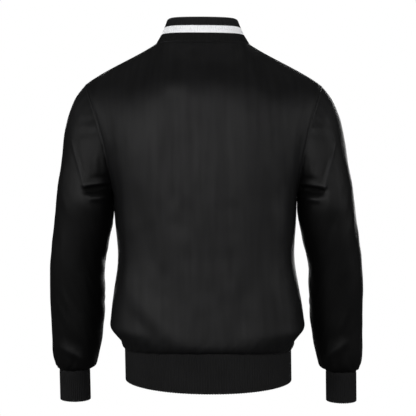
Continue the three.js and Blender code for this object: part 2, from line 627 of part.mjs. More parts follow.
// A group on the zip, its z axis up along the zip between two distances and its y axis into the jacket
function onZip(from, to) {
  const low = zipPoint(zipRowAt(from), 0, 0);
  const high = zipPoint(zipRowAt(to), 0, 0);
  const middle = mixPoints(low, high, 0.5);
  const place = new THREE.Group();
  place.position.set(lean * middle.z, middle.y, middle.z);
  place.rotation.x = Math.atan2(low.y - high.y, high.z - low.z);
  jacket.add(place);
  return place;
}

function addPiece(parent, name, geometry, material) {
  const mesh = addMesh(name, geometry, material);
  parent.add(mesh);
  return mesh;
}

const sliderTop = zipLength - slider.belowNeck;
const sliderFoot = sliderTop - slider.length;
const chainFrom = box.height + seamGap;
const chainTo = sliderTop - slider.post - 1;
const chainRows = [
  zipRowAt(chainFrom),
  ...zipRows.filter((_, k) => zipReach[k] > chainFrom && zipReach[k] < chainTo),
  zipRowAt(chainTo),
];
const chainOut = -zip.chainProud;
const chainIn = zip.chainWall - zip.chainProud;
addMesh("zip_chain", strip(chainRows, -zip.chainHalf, zip.chainHalf, chainOut, chainIn), blackMetal());

const polygon = (points) => new THREE.Shape(points.map(([x, y]) => new THREE.Vector2(x, y)));
function extruded(shape, depth) {
  const geometry = new THREE.ExtrudeGeometry(shape, { depth, bevelEnabled: false, curveSegments: 8 });
  return geometry.translate(0, 0, -depth / 2);
}

// The box holds both tapes in its side slots
const slot = { out: -seamGap, in: zip.tapeWall + seamGap };
const boxFace = { out: slot.out - box.flange, in: slot.in + box.flange };
const boxShape = polygon([
  [-box.half, boxFace.out],
  [box.half, boxFace.out],
  [box.half, slot.out],
  [box.web, slot.out],
  [box.web, slot.in],
  [box.half, slot.in],
  [box.half, boxFace.in],
  [-box.half, boxFace.in],
  [-box.half, slot.in],
  [-box.web, slot.in],
  [-box.web, slot.out],
  [-box.half, slot.out],
]);
addPiece(onZip(0, box.height), "zip_box", extruded(boxShape, box.height), blackMetal());

// Stops at the tapes' inner edges, just above the slider
const stopFrom = sliderTop + stop.above;
for (const [name, side] of [["zip_stop_left", 1], ["zip_stop_right", -1]]) {
  const shape = polygon([
    [side * stop.inner, slot.out - stop.shell],
    [side * stop.outer, slot.out - stop.shell],
    [side * stop.outer, slot.out],
    [side * box.web, slot.out],
    [side * box.web, slot.in],
    [side * stop.outer, slot.in],
    [side * stop.outer, slot.in + stop.shell],
    [side * stop.inner, slot.in + stop.shell],
  ]);
  addPiece(onZip(stopFrom, stopFrom + stop.height), name, extruded(shape, stop.height), blackMetal());
}

// The slider: two plates joined by a post at the top, with the pull tab's bridge on the outer plate
const wasm = await Module();
wasm.setup();

function toSolid(geometry) {
  const bare = geometry.clone();
  bare.deleteAttribute("normal");
  bare.deleteAttribute("uv");
  const merged = mergeVertices(bare, 1e-4);
  const mesh = { numProp: 3, vertProperties: merged.attributes.position.array, triVerts: merged.index.array };
  return new wasm.Manifold(new wasm.Mesh(mesh));
}

function fused(geometries) {
  const mesh = geometries.map(toSolid).reduce((whole, next) => whole.add(next)).getMesh();
  const geometry = new THREE.BufferGeometry();
  geometry.setAttribute("position", new THREE.Float32BufferAttribute(mesh.vertProperties, 3));
  geometry.setIndex([...mesh.triVerts]);
  geometry.computeVertexNormals();
  return geometry;
}

const chainMiddle = (chainOut + chainIn) / 2;
const plateShift = (slider.room + slider.plate) / 2;
const plate = (y) => new THREE.BoxGeometry(slider.width, slider.plate, slider.length).translate(0, y, 0);
const post = new THREE.BoxGeometry(2 * slider.postHalf, slider.room + slider.plate, slider.post);
post.translate(0, chainMiddle, (slider.length - slider.post) / 2);
const bridgeFoot = slider.room / 2 + slider.plate / 2 - chainMiddle;
const bridgeInside = slider.room / 2 + slider.plate + bridge.room - chainMiddle;
const bridgeHalf = bridge.length / 2;
const bridgeShape = polygon([
  [-bridgeHalf, bridgeFoot],
  [-bridgeHalf, bridgeInside],
  [-bridgeHalf + bridge.wall, bridgeInside + bridge.wall],
  [bridgeHalf - bridge.wall, bridgeInside + bridge.wall],
  [bridgeHalf, bridgeInside],
  [bridgeHalf, bridgeFoot],
  [bridgeHalf - bridge.wall, bridgeFoot],
  [bridgeHalf - bridge.wall, bridgeInside],
  [-bridgeHalf + bridge.wall, bridgeInside],
  [-bridgeHalf + bridge.wall, bridgeFoot],
]);
const alongZip = new THREE.Vector3(0, 0, 1);
const outOfZip = new THREE.Vector3(0, -1, 0);
const acrossZip = new THREE.Vector3(1, 0, 0);
const standing = new THREE.Matrix4().makeBasis(alongZip, outOfZip, acrossZip);
const bridgeArch = extruded(bridgeShape, bridge.width).applyMatrix4(standing);
const onSlider = onZip(sliderFoot, sliderTop);
const plates = [plate(chainMiddle - plateShift), plate(chainMiddle + plateShift)];
const sliderBody = fused([...plates, post, bridgeArch]);
addPiece(onSlider, "zip_slider", sliderBody, blackMetal());

// The pull tab hangs down along the zip, its bar under the bridge
const pullShape = new THREE.Shape();
const pullTop = pull.bar / 2;
const pullFoot = pullTop - pull.length;
const pullHalf = pull.width / 2;
pullShape.moveTo(-pullHalf + 1, pullTop);
pullShape.lineTo(-pullHalf, pullTop - 1);
pullShape.lineTo(-pullHalf, pullFoot + pullHalf);
pullShape.absarc(0, pullFoot + pullHalf, pullHalf, Math.PI, 2 * Math.PI, false);
pullShape.lineTo(pullHalf, pullTop - 1);
pullShape.lineTo(pullHalf - 1, pullTop);
pullShape.closePath();
const eyeHalf = pull.eyeWidth / 2;
const eyeFoot = -pullTop - pull.eye;
const eye = new THREE.Path();
eye.moveTo(-eyeHalf, -pullTop);
eye.lineTo(eyeHalf, -pullTop);
eye.lineTo(eyeHalf, eyeFoot);
eye.lineTo(-eyeHalf, eyeFoot);
eye.closePath();
pullShape.holes.push(eye);
const pullBody = extruded(pullShape, pull.wall).rotateX(Math.PI / 2);
const pullTab = addPiece(onSlider, "zip_pull_tab", pullBody, blackMetal());
pullTab.position.y = chainMiddle - slider.room / 2 - slider.plate - bridge.room / 2;

export default jacket;
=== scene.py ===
import math
import bpy
import numpy as np
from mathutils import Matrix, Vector


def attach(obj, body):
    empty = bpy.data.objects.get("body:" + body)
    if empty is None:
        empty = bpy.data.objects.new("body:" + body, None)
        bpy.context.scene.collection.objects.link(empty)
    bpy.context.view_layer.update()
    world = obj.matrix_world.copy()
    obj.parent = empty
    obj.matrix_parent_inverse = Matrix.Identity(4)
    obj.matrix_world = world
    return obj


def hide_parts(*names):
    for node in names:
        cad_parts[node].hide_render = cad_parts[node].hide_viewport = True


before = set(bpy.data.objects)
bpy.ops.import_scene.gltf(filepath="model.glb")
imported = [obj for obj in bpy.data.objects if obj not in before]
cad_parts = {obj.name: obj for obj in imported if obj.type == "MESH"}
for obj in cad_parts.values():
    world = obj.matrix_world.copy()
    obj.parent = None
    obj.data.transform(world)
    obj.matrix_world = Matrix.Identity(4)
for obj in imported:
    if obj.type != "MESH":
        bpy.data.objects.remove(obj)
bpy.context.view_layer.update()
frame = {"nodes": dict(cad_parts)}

print("frame loaded:", ", ".join(frame["nodes"]))

# The jacket as it is worn, in metres: +Z up, +X the wearer's left, the back faces +Y


def table(columns, rows):  # rows of values under named columns; a short row leaves its last columns out
    return [dict(zip(columns.split(), row)) for row in rows]


stance = {
    "lean": 0.0165,  # sideways shift towards the wearer's right for each metre of height
    "roll": 0.006,  # how much higher the wearer's left hangs, for each metre to the side
    "leftForearm": 0.0022,  # the left forearm swings out by this much
    "panelWall": 0.0018,  # thickness of the satin shell
    "ribWall": 0.0028,  # thickness of the doubled rib knit
    "seamDip": 0.0009,  # how far a panel's edge sinks into its seam
    "seamReach": 0.0016,  # distance from the seam to the deepest part of the dip
    "cornerEase": 0.018,  # how far from a corner of two seams the dips beside them start
}
neckSeam = {"side": 0.090, "back": 0.055, "front": 0.075, "backZ": 0.004, "sideZ": 0.0, "frontZ": -0.072}
collarFold = {
    "side": 0.0688, "back": 0.046, "front": 0.062, "backZ": 0.0502, "sideZ": 0.0415, "frontZ": -0.032, "round": 3,
}
frontDropPower = 1.5  # how fast the neck and the collar's edge fall from the side to the front
collarFlare = 0.0018
collarCorner = 0.014
frontEdge = 0.006  # half the opening where the zip shows
shoulderHandles = [(0.128, 0.0, -0.026), (0.186, -0.001, -0.048)]
bodySections = table("z side back front full", [
    (-0.588, 0.1635, 0.118, 0.118, 0.7),
    (-0.581, 0.1685, 0.127, 0.1275, 0.7),
    (-0.572, 0.171, 0.1306, 0.1316, 0.73),
    (-0.561, 0.18, 0.1316, 0.133, 0.75),
    (-0.548, 0.19, 0.1316, 0.1334, 0.75),
    (-0.528, 0.1885, 0.131, 0.133, 0.75),
    (-0.504, 0.1855, 0.1302, 0.1325, 0.75),
    (-0.48, 0.1815, 0.1298, 0.1315, 0.75),
    (-0.455, 0.1773, 0.1298, 0.1305, 0.75),
    (-0.43, 0.1733, 0.13, 0.13, 0.75),
    (-0.405, 0.1716, 0.1306, 0.1303, 0.75),
    (-0.378, 0.1728, 0.1315, 0.1315, 0.75),
    (-0.35, 0.1754, 0.1328, 0.1335, 0.75),
    (-0.321, 0.1767, 0.1345, 0.1355, 0.75),
    (-0.292, 0.178, 0.1365, 0.1375, 0.75),
])
backRise = table("z y", [
    (-0.292, 0.1365),
    (-0.24, 0.1382),
    (-0.19, 0.1378),
    (-0.14, 0.1362),
    (-0.105, 0.1330),
    (-0.08, 0.1275),
    (-0.06, 0.1180),
    (-0.041, 0.1045),
    (-0.02, 0.0830),
    (neckSeam["backZ"], neckSeam["back"]),
])
frontRise = table("z y", [
    (-0.292, -0.1375),
    (-0.24, -0.139),
    (-0.19, -0.134),
    (-0.14, -0.12),
    (-0.1, -0.098),
    (neckSeam["frontZ"], -neckSeam["front"]),
])
sleeveRings = table("outX outZ inX inZ midY back front bow", [
    (0.228, -0.079, 0.178, -0.292, -0.003, 0.079, 0.067, 0.01),
    (0.25, -0.108, 0.1786, -0.299, -0.002, 0.08, 0.068, 0.007),
    (0.267, -0.155, 0.1784, -0.307, -0.001, 0.079, 0.068, 0.004),
    (0.278, -0.222, 0.178, -0.319, 0.001, 0.075, 0.067, 0.002),
    (0.288, -0.286, 0.1795, -0.333, 0.003, 0.07, 0.066, 0.0),
    (0.2945, -0.343, 0.1835, -0.358, 0.0, 0.0625, 0.0625, 0.0),
    (0.301, -0.39, 0.1908, -0.388, -0.008, 0.0595, 0.06, 0.0),
    (0.306, -0.43, 0.1996, -0.428, -0.017, 0.0575, 0.058, 0.0),
    (0.3084, -0.47, 0.2012, -0.468, -0.026, 0.056, 0.056, 0.0),
    (0.3094, -0.51, 0.2026, -0.507, -0.0345, 0.0545, 0.054, 0.0),
    (0.3096, -0.549, 0.205, -0.545, -0.042, 0.053, 0.0525, 0.0),
    (0.3096, -0.586, 0.2095, -0.582, -0.0485, 0.051, 0.05, 0.0),
    (0.3098, -0.612, 0.2155, -0.608, -0.0525, 0.0485, 0.048, 0.0),
    (0.3076, -0.631, 0.2196, -0.627, -0.055, 0.045, 0.045, 0.0),
    (0.3034, -0.643, 0.224, -0.64, -0.057, 0.0405, 0.04, 0.0),
    (0.2979, -0.65, 0.2363, -0.648, -0.058, 0.031, 0.031, 0.0),
])
waistSeamDrop = {"side": 0.005, "back": -0.004, "front": 0.0}
cuffForm = {"midX": 0.2671, "half": 0.0308, "foldZ": -0.711, "foldY": -0.058}
waistForm = {"side": 0.1635, "back": 0.118, "front": 0.118, "full": 0.6, "foldZ": -0.661, "sideLift": 0.005}
neckShare = 0.42  # share of a half's columns that end on the neck seam
lastSection = len(bodySections) - 1
frontNeckTurn = math.pi - math.asin(frontEdge / neckSeam["side"])


def mix(a, b, t):
    return a + (b - a) * t


def smooth(t):
    t = np.clip(t, 0, 1)
    return t * t * (3 - 2 * t)


def points(x, y, z):
    return np.stack(np.broadcast_arrays(x, y, z), axis=-1).astype(float)


def column(rows, name, step):  # a table's column at a step between its rows, on a smooth curve
    values = np.array([row[name] for row in rows])
    last = len(values) - 1
    step = np.asarray(step, float)
    i = np.clip(np.floor(step).astype(int), 0, last - 1)
    f = step - i
    slopeIn = (values[i + 1] - values[np.clip(i - 1, 0, last)]) / np.where(i == 0, 1, 2)
    slopeOut = (values[np.clip(i + 2, 0, last)] - values[i]) / np.where(i == last - 1, 1, 2)
    byValues = values[i] * (2 * f**3 - 3 * f**2 + 1) + values[i + 1] * (3 * f**2 - 2 * f**3)
    return byValues + slopeIn * (f**3 - 2 * f**2 + f) + slopeOut * (f**3 - f**2)


def quarter(start, side, reach, full, t):  # a quarter of a level section, from its middle to the side
    r = 1 - t
    across = 3 * r * r * t * full + 3 * r * t * t + t**3
    out = r**3 + 3 * r * r * t + 3 * r * t * t * full
    return start + (side - start) * across, reach * out


def neckLine(size, turn):  # turn is 0 at the middle of the back and pi at the front
    c = np.cos(turn)
    fall = np.where(c < 0, np.abs(c) ** frontDropPower, 0)
    zFront = mix(size["sideZ"], size["frontZ"], fall)
    zBack = mix(size["sideZ"], size["backZ"], 1 - (1 - np.clip(c, 0, 1)) ** size.get("round", 2))
    y = np.where(c < 0, size["front"], size["back"]) * c
    return points(size["side"] * np.sin(turn), y, np.where(c < 0, zFront, zBack))


def sleevePoint(step, turn):  # turn is 0 outside, pi / 2 behind and pi inside the arm
    at = {name: column(sleeveRings, name, step) for name in sleeveRings[0]}
    c = np.cos(turn)
    s = np.sin(turn)
    x = mix(at["inX"], at["outX"], (1 + c) / 2) - at["bow"] * s * s
    y = at["midY"] + np.where(s > 0, at["back"], at["front"]) * s
    return points(x, y, mix(at["inZ"], at["outZ"], (1 + c) / 2))


def shoulderSeam(t):
    t = np.asarray(t, float)[..., None]
    ends = [np.array([neckSeam["side"], 0, neckSeam["sideZ"]]), *map(np.array, shoulderHandles), sleevePoint(0, 0.0)]
    r = 1 - t
    return ends[0] * r**3 + 3 * ends[1] * r * r * t + 3 * ends[2] * r * t * t + ends[3] * t**3


def lowerBody(isBack, u, step):  # the body's left half: u from the middle to the side, step counts sections
    at = {name: column(bodySections, name, step) for name in bodySections[0]}
    reach = at["back"] if isBack else at["front"]
    x, y = quarter(0 if isBack else frontEdge, at["side"], reach, at["full"], u)
    seamward = np.clip(1 - step / 4, 0, 1) ** 2
    middleDrop = waistSeamDrop["back" if isBack else "front"]
    drop = mix(middleDrop, waistSeamDrop["side"], np.sin(u * math.pi / 2) ** 2)
    sideY = sleeveRings[0]["midY"] * step / lastSection
    return points(x, (y if isBack else -y) + sideY * (1 - y / reach), at["z"] - drop * seamward)


def topEdge(isBack, u):
    share = np.clip(u / neckShare, 0, 1)
    turn = share * math.pi / 2 if isBack else mix(frontNeckTurn, math.pi / 2, share)
    onShoulder = shoulderSeam(np.clip((u - neckShare) / (1 - neckShare), 0, 1))
    return np.where((u > neckShare)[..., None], onShoulder, neckLine(neckSeam, turn))


def middleLine(isBack, t):  # the middle of the back or the front edge, from the armpit's level to the neck
    rise = backRise if isBack else frontRise
    end = topEdge(isBack, np.zeros(1))[0]
    step = t * (len(rise) - 1)
    y = column(rise, "y", step) + (end[1] - rise[-1]["y"]) * t * t
    z = column(rise, "z", step) + (end[2] - rise[-1]["z"]) * t * t
    return points(0 if isBack else frontEdge, y, z)


def upperBody(isBack, u, v):  # stretched between the armpit's level, the neck and shoulder, middle and armhole
    edge = sleevePoint(0, (1 if isBack else -1) * math.pi * (1 - v))
    zero = np.zeros_like(u)
    one = np.ones_like(u)
    across = (u * u)[..., None]
    up = (v * v)[..., None]
    byEdges = middleLine(isBack, v) * (1 - across) + edge * across
    byLevels = lowerBody(isBack, u, lastSection + zero) * (1 - up) + topEdge(isBack, u) * up
    armpit = lastSection + zero
    low = lowerBody(isBack, zero, armpit) * (1 - across) + lowerBody(isBack, one, armpit) * across
    high = topEdge(isBack, zero) * (1 - across) + topEdge(isBack, one) * across
    return byEdges + byLevels - low * (1 - up) - high * up


def bodyPoint(isBack, u, climb):  # climb runs to lastSection at the armpit and one unit on to the top
    size = np.abs(u)
    low = lowerBody(isBack, size, np.clip(climb, 0, lastSection))
    high = upperBody(isBack, size, np.clip(climb - lastSection, 0, 1))
    p = np.where((climb > lastSection)[..., None], high, low)
    p[..., 0] *= np.where(u < 0, -1, 1)
    return p


def collarPoint(h, turn):  # h runs from the seam to the folded edge
    size = np.abs(turn)
    low = neckLine(neckSeam, size)
    high = neckLine(collarFold, size)
    endRun = np.maximum((math.pi - size) * neckSeam["side"] - frontEdge, 0)
    corner = np.maximum(collarCorner - endRun, 0)
    drop = collarCorner - np.sqrt(collarCorner**2 - corner**2)
    height = h * (1 - drop / np.linalg.norm(high - low, axis=-1))
    inward = low * np.array([1, 1, 0])
    inward *= (collarFlare * np.sin(math.pi * height) / np.linalg.norm(inward, axis=-1))[..., None]
    p = mix(low, high, height[..., None]) - inward
    p[..., 0] *= np.sign(turn)
    return p


def waistPoint(h, turn):  # turn is 0 at the middle of the back, 1 at the side and 2 at the front
    size = np.abs(turn)
    isBack = size <= 1
    u = np.where(isBack, size, 2 - size)
    low = np.where(isBack[..., None], lowerBody(True, u, 0 * u), lowerBody(False, u, 0 * u))
    xBack, yBack = quarter(0, waistForm["side"], waistForm["back"], waistForm["full"], u)
    xFront, yFront = quarter(frontEdge, waistForm["side"], waistForm["front"], waistForm["full"], u)
    foldZ = waistForm["foldZ"] + waistForm["sideLift"] * np.sin(u * math.pi / 2) ** 2
    x = np.where(isBack, xBack, xFront) * np.sign(turn)
    return points(x, np.where(isBack, yBack, -yFront), mix(low[..., 2], foldZ, h))


def cuffPoint(h, turn):
    low = sleevePoint(len(sleeveRings) - 1.0 + 0 * turn, turn)
    x = cuffForm["midX"] + cuffForm["half"] * np.cos(turn)
    y = cuffForm["foldY"] + cuffForm["half"] * np.sin(turn)
    return mix(low, points(x, y, cuffForm["foldZ"]), h[..., None])


# Folds: ridges, or troughs where relief is negative, along lines seen from the back
# (x outwards from the middle)

# the last column, where given, multiplies the colour along the fold: painted highlight above 1, painted shade below
# 1
foldColumns = "x1 z1 x2 z2 width relief sharp tone"
# the crease behind each elbow: a thin fold runs down to it, and cloth sags over a deep trough
# with a soft roll below; the thin folds and the roll carry painted highlight, the troughs painted shade
elbowFolds = [
    (0.2514, -0.186, 0.229, -0.27, 0.0034, 0.0022, 1.8, 3.6),
    (0.229, -0.27, 0.18, -0.264, 0.003, 0.003, 1.8, 3.0),
    (0.2235, -0.279, 0.18, -0.2755, 0.007, -0.014, 1.5, 0.1),
    (0.215, -0.2945, 0.19, -0.293, 0.0062, 0.0036, 2, 2.0),
    (0.212, -0.256, 0.18, -0.253, 0.0055, -0.0018, 2, 0.55),
    (0.244, -0.205, 0.223, -0.261, 0.005, -0.0008, 2, 0.7),
]
# drag lines from each armhole, and small pleats above the crease
dragFolds = [
    (0.24, -0.15, 0.202, -0.144, 0.0052, -0.0004, 2),
    (0.242, -0.161, 0.2, -0.1575, 0.005, 0.0004, 2),
    (0.238, -0.173, 0.201, -0.169, 0.006, -0.00045, 2),
    (0.244, -0.19, 0.208, -0.183, 0.0065, 0.0004, 2),
    (0.213, -0.22, 0.211, -0.248, 0.003, -0.0005, 2),
    (0.205, -0.216, 0.204, -0.246, 0.003, 0.0005, 2),
    (0.197, -0.218, 0.1965, -0.246, 0.003, -0.0005, 2),
]


def moved(rows, across):
    return [(x1 + across, z1, x2 + across, z2, *rest) for x1, z1, x2, z2, *rest in rows]


foldRows = {  # by what they are on, the side (1 is the wearer's left) and the face (1 is the back)
    ("sleeve", 1, 1): [
        *elbowFolds,
        *dragFolds,
        # soft rolls above the cuffs; the ridge carries painted highlight
        (0.284, -0.598, 0.232, -0.626, 0.008, 0.003, 1.7, 1.5),
        (0.282, -0.575, 0.24, -0.598, 0.012, -0.0014, 2),
    ],
    ("sleeve", -1, 1): [
        *moved(elbowFolds, -0.0035),
        *moved(dragFolds, -0.003),
        # soft rolls above the cuffs; the ridge carries painted highlight
        (0.22, -0.626, 0.268, -0.584, 0.0085, 0.0032, 1.7, 2.0),
        (0.214, -0.596, 0.256, -0.566, 0.012, -0.0014, 2),
    ],
    # the hidden fronts of the sleeves crease at the elbow's bend
    ("sleeve", 1, -1): [
        (0.2, -0.3, 0.262, -0.25, 0.01, -0.0045, 1.7),
        (0.202, -0.33, 0.268, -0.3, 0.011, 0.003, 1.8),
        (0.204, -0.402, 0.27, -0.42, 0.01, -0.005, 1.6),
        (0.206, -0.428, 0.276, -0.446, 0.012, 0.0032, 1.8),
        (0.208, -0.455, 0.262, -0.462, 0.01, -0.0036, 1.7),
    ],
    ("sleeve", -1, -1): [
        (0.203, -0.294, 0.258, -0.246, 0.01, -0.0042, 1.7),
        (0.204, -0.406, 0.272, -0.424, 0.01, -0.005, 1.6),
        (0.204, -0.434, 0.268, -0.446, 0.012, 0.0032, 1.8),
        (0.206, -0.466, 0.252, -0.46, 0.01, -0.0034, 1.7),
    ],
    # the back hangs in long soft waves, and the cloth above the waistband pulls towards the sides
    ("body", 1, 1): [
        (0.062, -0.11, 0.054, -0.33, 0.02, -0.0026, 2),
        (0.16, -0.455, 0.055, -0.562, 0.018, 0.002, 1.8),
        (0.158, -0.5, 0.078, -0.572, 0.016, -0.0014, 1.8),
        (0.112, -0.36, 0.096, -0.47, 0.02, -0.0022, 2),
    ],
    ("body", -1, 1): [
        (0.042, -0.13, 0.046, -0.3, 0.02, -0.0022, 2),
        (0.088, -0.44, 0.052, -0.566, 0.022, -0.0024, 2),
        (0.11, -0.43, 0.152, -0.528, 0.016, 0.002, 1.8),
        (0.128, -0.18, 0.146, -0.3, 0.018, -0.0028, 2),
    ],
    ("body", 1, -1): [
        (0.07, -0.18, 0.06, -0.4, 0.022, -0.0028, 2),
        (0.14, -0.44, 0.062, -0.56, 0.016, 0.0038, 1.8),
        (0.128, -0.5, 0.07, -0.572, 0.013, -0.0034, 1.8),
    ],
    ("body", -1, -1): [
        (0.078, -0.2, 0.064, -0.42, 0.022, -0.0028, 2),
        (0.132, -0.43, 0.056, -0.552, 0.016, 0.0038, 1.8),
        (0.12, -0.49, 0.066, -0.57, 0.013, -0.0034, 1.8),
    ],
}
folds = [
    dict(on=on, side=side, face=face) | fold
    for (on, side, face), rows in foldRows.items()
    for fold in table(foldColumns, rows)
]
gathers = {  # small uneven pleats where the cloth is gathered onto a rib
    "waist": dict(count=46, depth=0.0013, reach=0.024),
    "cuff": dict(count=15, depth=0.0018, reach=0.026),
}


def foldShape(p, normal, f):  # 1 on a fold's line, and less away from it
    ax, az = f["x2"] - f["x1"], f["z2"] - f["z1"]
    px, pz = np.abs(p[..., 0]) - f["x1"], p[..., 2] - f["z1"]
    t = np.clip((px * ax + pz * az) / (ax * ax + az * az), 0, 1)
    away = np.hypot(px - ax * t, pz - az * t) / f["width"]
    taper = 0.45 + 0.55 * np.sin(math.pi * np.clip(0.12 + 0.76 * t, 0, 1))  # deepest at its middle
    facing = np.clip(normal[..., 1] * f["face"], 0, 1) ** 0.7
    same = np.clip(p[..., 0] * f["side"] / 0.004, 0, 1)
    return taper * np.exp(-(away ** f["sharp"])) * facing * same


def foldRelief(p, normal, kind):
    return sum(f["relief"] * foldShape(p, normal, f) for f in folds if f["on"] == kind)


def paintedFoldShading(p, normal, kind):  # painted highlight along sharp folds and painted shade in deep ones, as a colour multiplier
    tone = np.ones(p.shape[:-1])
    for f in folds:
        if f["on"] == kind and "tone" in f:
            tone *= 1 + (f["tone"] - 1) * np.clip(1.25 * foldShape(p, normal, f), 0, 1)
    return tone


def netNormals(net, closed):  # unit normals of a net of points
    if closed:
        across = np.roll(net, -1, axis=1) - np.roll(net, 1, axis=1)
    else:
        across = np.gradient(net, axis=1)
    normal = np.cross(across, np.gradient(net, axis=0))
    return normal / np.maximum(np.linalg.norm(normal, axis=-1, keepdims=True), 1e-12)


def runAlong(net, axis):  # distance run along each row or column
    steps = np.linalg.norm(np.diff(net, axis=axis), axis=-1)
    pad = [(0, 0), (0, 0)]
    pad[axis] = (1, 0)
    return np.pad(np.cumsum(steps, axis=axis), pad)


def crowded(count, near=(0.0016, 0.0042, 0.009)):  # even steps from 0 to 1 with a few more close to each end
    even = np.linspace(0, 1, count + 1)
    extra = [e for e in near] + [1 - e for e in near]
    return np.unique(np.concatenate([even, extra]).round(7))


def selectOnly(obj):
    bpy.ops.object.select_all(action="DESELECT")
    obj.select_set(True)
    bpy.context.view_layer.objects.active = obj


def applyModifier(obj, kind, **settings):
    modifier = obj.modifiers.new(kind.title(), kind)
    for name, value in settings.items():
        setattr(modifier, name, value)
    selectOnly(obj)
    bpy.ops.object.modifier_apply(modifier=modifier.name)


def settled(net):  # the whole jacket hangs a little askew
    moved = net.copy()
    moved[..., 0] += stance["lean"] * net[..., 2]
    moved[..., 2] += stance["roll"] * net[..., 0]
    forearm = smooth((net[..., 0] - 0.19) / 0.03) * smooth((-0.34 - net[..., 2]) / 0.12)
    moved[..., 0] += stance["leftForearm"] * forearm
    return moved


def linkMesh(name, mesh):
    obj = bpy.data.objects.new(name, mesh)
    bpy.context.scene.collection.objects.link(obj)
    return obj


def shadeSmooth(obj, sharpFrom):  # edges sharper than this many degrees stay sharp
    selectOnly(obj)
    bpy.ops.object.shade_smooth_by_angle(angle=math.radians(sharpFrom))


def netObject(name, net, quads, corners, flip, attribute, values):  # corners are each face's run across and up
    if flip:
        quads, corners = quads[:, ::-1], [run[:, ::-1] for run in corners]
    mesh = bpy.data.meshes.new(name)
    mesh.from_pydata(settled(net).reshape(-1, 3).tolist(), [], quads.tolist())
    layer = mesh.uv_layers.new(name="cloth")
    layer.data.foreach_set("uv", np.stack(corners, axis=-1).astype(np.float32).ravel())
    level = mesh.attributes.new(attribute, "FLOAT", "POINT")
    level.data.foreach_set("value", values.astype(np.float32).ravel())
    return linkMesh(name, mesh)


def fourCorners(a, b, c, d):
    return np.stack([a, b, c, d], axis=-1).reshape(-1, 4)


def clothPiece(name, net, closed, flip, wall, tone=1.0):  # a thin shell on a net of points, with painted light and shade for its colour
    rows, count = net.shape[:2]
    i, j = np.meshgrid(np.arange(rows - 1), np.arange(count if closed else count - 1), indexing="ij")
    k = (j + 1) % count
    quads = fourCorners(i * count + j, i * count + k, (i + 1) * count + k, (i + 1) * count + j)
    u = runAlong(np.concatenate([net, net[:, :1]], axis=1) if closed else net, 1)
    v = runAlong(net, 0)
    u = u - u[:, u.shape[1] // 2 : u.shape[1] // 2 + 1]
    corners = [
        fourCorners(u[i, j], u[i, j + 1], u[i + 1, j + 1], u[i + 1, j]),
        fourCorners(v[i, j], v[i, k], v[i + 1, k], v[i + 1, j]),
    ]
    obj = netObject(name, net, quads, corners, flip, "tone", np.broadcast_to(tone, (rows, count)))
    area = sum(face.area for face in obj.data.polygons)
    obj["cutArea"] = area
    applyModifier(obj, "SOLIDIFY", thickness=wall, offset=-1, use_rim=True, use_even_offset=False)
    shadeSmooth(obj, 50)
    print(f"{name}: {len(obj.data.polygons)} faces, {area:.4f} m2")
    return obj


# Building the cloth


def softNoise(u, v, cellU, cellV, seed):  # smooth noise of about -1 to 1 with cells of the sizes given
    rng = np.random.default_rng(seed)
    grid = rng.uniform(-1, 1, (64, 64))
    x, y = u / cellU + 17.3, v / cellV + 23.7
    i, j = np.floor(x).astype(int), np.floor(y).astype(int)
    fx, fy = smooth(x - i), smooth(y - j)
    at = lambda a, b: grid[a % 64, b % 64]
    return mix(mix(at(i, j), at(i + 1, j), fx), mix(at(i, j + 1), at(i + 1, j + 1), fx), fy)


def gatherRelief(along, height, length, form, seed):  # uneven small pleats that fan out from a rib's seam
    rng = np.random.default_rng(seed)
    total = np.zeros(along.shape)
    for k in range(form["count"]):
        centre = (k + rng.uniform(0.15, 0.85)) / form["count"] * length
        depth = form["depth"] * rng.choice([-1, -1, 0.8]) * rng.uniform(0.35, 1)
        reach = form["reach"] * rng.uniform(0.5, 1.9)
        slant = rng.uniform(-0.16, 0.16)
        width = rng.uniform(0.0022, 0.0046) * (1 + height / 0.05)
        away = along - centre - slant * height
        total += depth * np.exp(-((away / width) ** 2)) * np.exp(-((height / reach) ** 1.6))
    return total


def seamRelief(distance, along, seed):  # the dip beside a seam, with small puckers; the seam's line stays put
    near = distance / stance["seamReach"]
    dip = -stance["seamDip"] * near * np.exp(1 - near)
    pucker = softNoise(along, distance, 0.0075, 0.03, seed) * 0.0004 * np.exp(-((distance / 0.0075) ** 2))
    return dip + pucker * smooth(near)


def easeJoin(net, atRow, reach):  # rounds the bend where two stretches of a panel meet
    rows, count = net.shape[:2]
    weight = np.exp(-(((np.arange(rows) - atRow) / reach) ** 2))[1:-1, None, None]
    side = np.minimum(np.arange(count), np.arange(count)[::-1])
    weight = weight * smooth(side / 14)[None, :, None]
    for _ in range(60):
        between = (net[:-2] + net[2:]) / 2
        net[1:-1] += 0.5 * weight * (between - net[1:-1])
    return net


def easeBend(net, atColumns, reach, clearRows):  # rounds the bend below the neck point, itself a corner
    rows, count = net.shape[:2]
    near = sum(np.exp(-(((np.arange(count) - c) / reach) ** 2)) for c in atColumns)
    below = smooth(np.arange(rows)[::-1] / clearRows)
    weight = (below[:, None] * np.clip(near, 0, 1))[:, 1:-1, None]
    for _ in range(80):
        between = (net[:, :-2] + net[:, 2:]) / 2
        net[:, 1:-1] += 0.5 * weight * (between - net[:, 1:-1])
    return net


def evenly(place, start, end, count):  # parameter values that divide a line into equal lengths
    fine = np.linspace(start, end, 900)
    run = np.concatenate([[0], np.cumsum(np.linalg.norm(np.diff(place(fine), axis=0), axis=-1))])
    return np.interp(np.linspace(0, run[-1], count + 1), run, fine)


def outwardNormals(net, closed, centres):
    normal = netNormals(net, closed)
    away = net - centres
    away[..., 2] = 0
    side = np.sign((normal * away).sum())
    return normal * side, side < 0


bodyDrape = {
    "rows": 150,
    "columns": 152,  # across the whole back
    "wave": 0.0011,  # height of the long soft waves
    "waveSize": (0.042, 0.20),
    "dimple": 0.0006,
    "dimpleSize": (0.022, 0.030),
    "edgeTurn": 0.0012,  # how far the front edge turns in, and over what width
    "edgeReach": 0.0022,
}


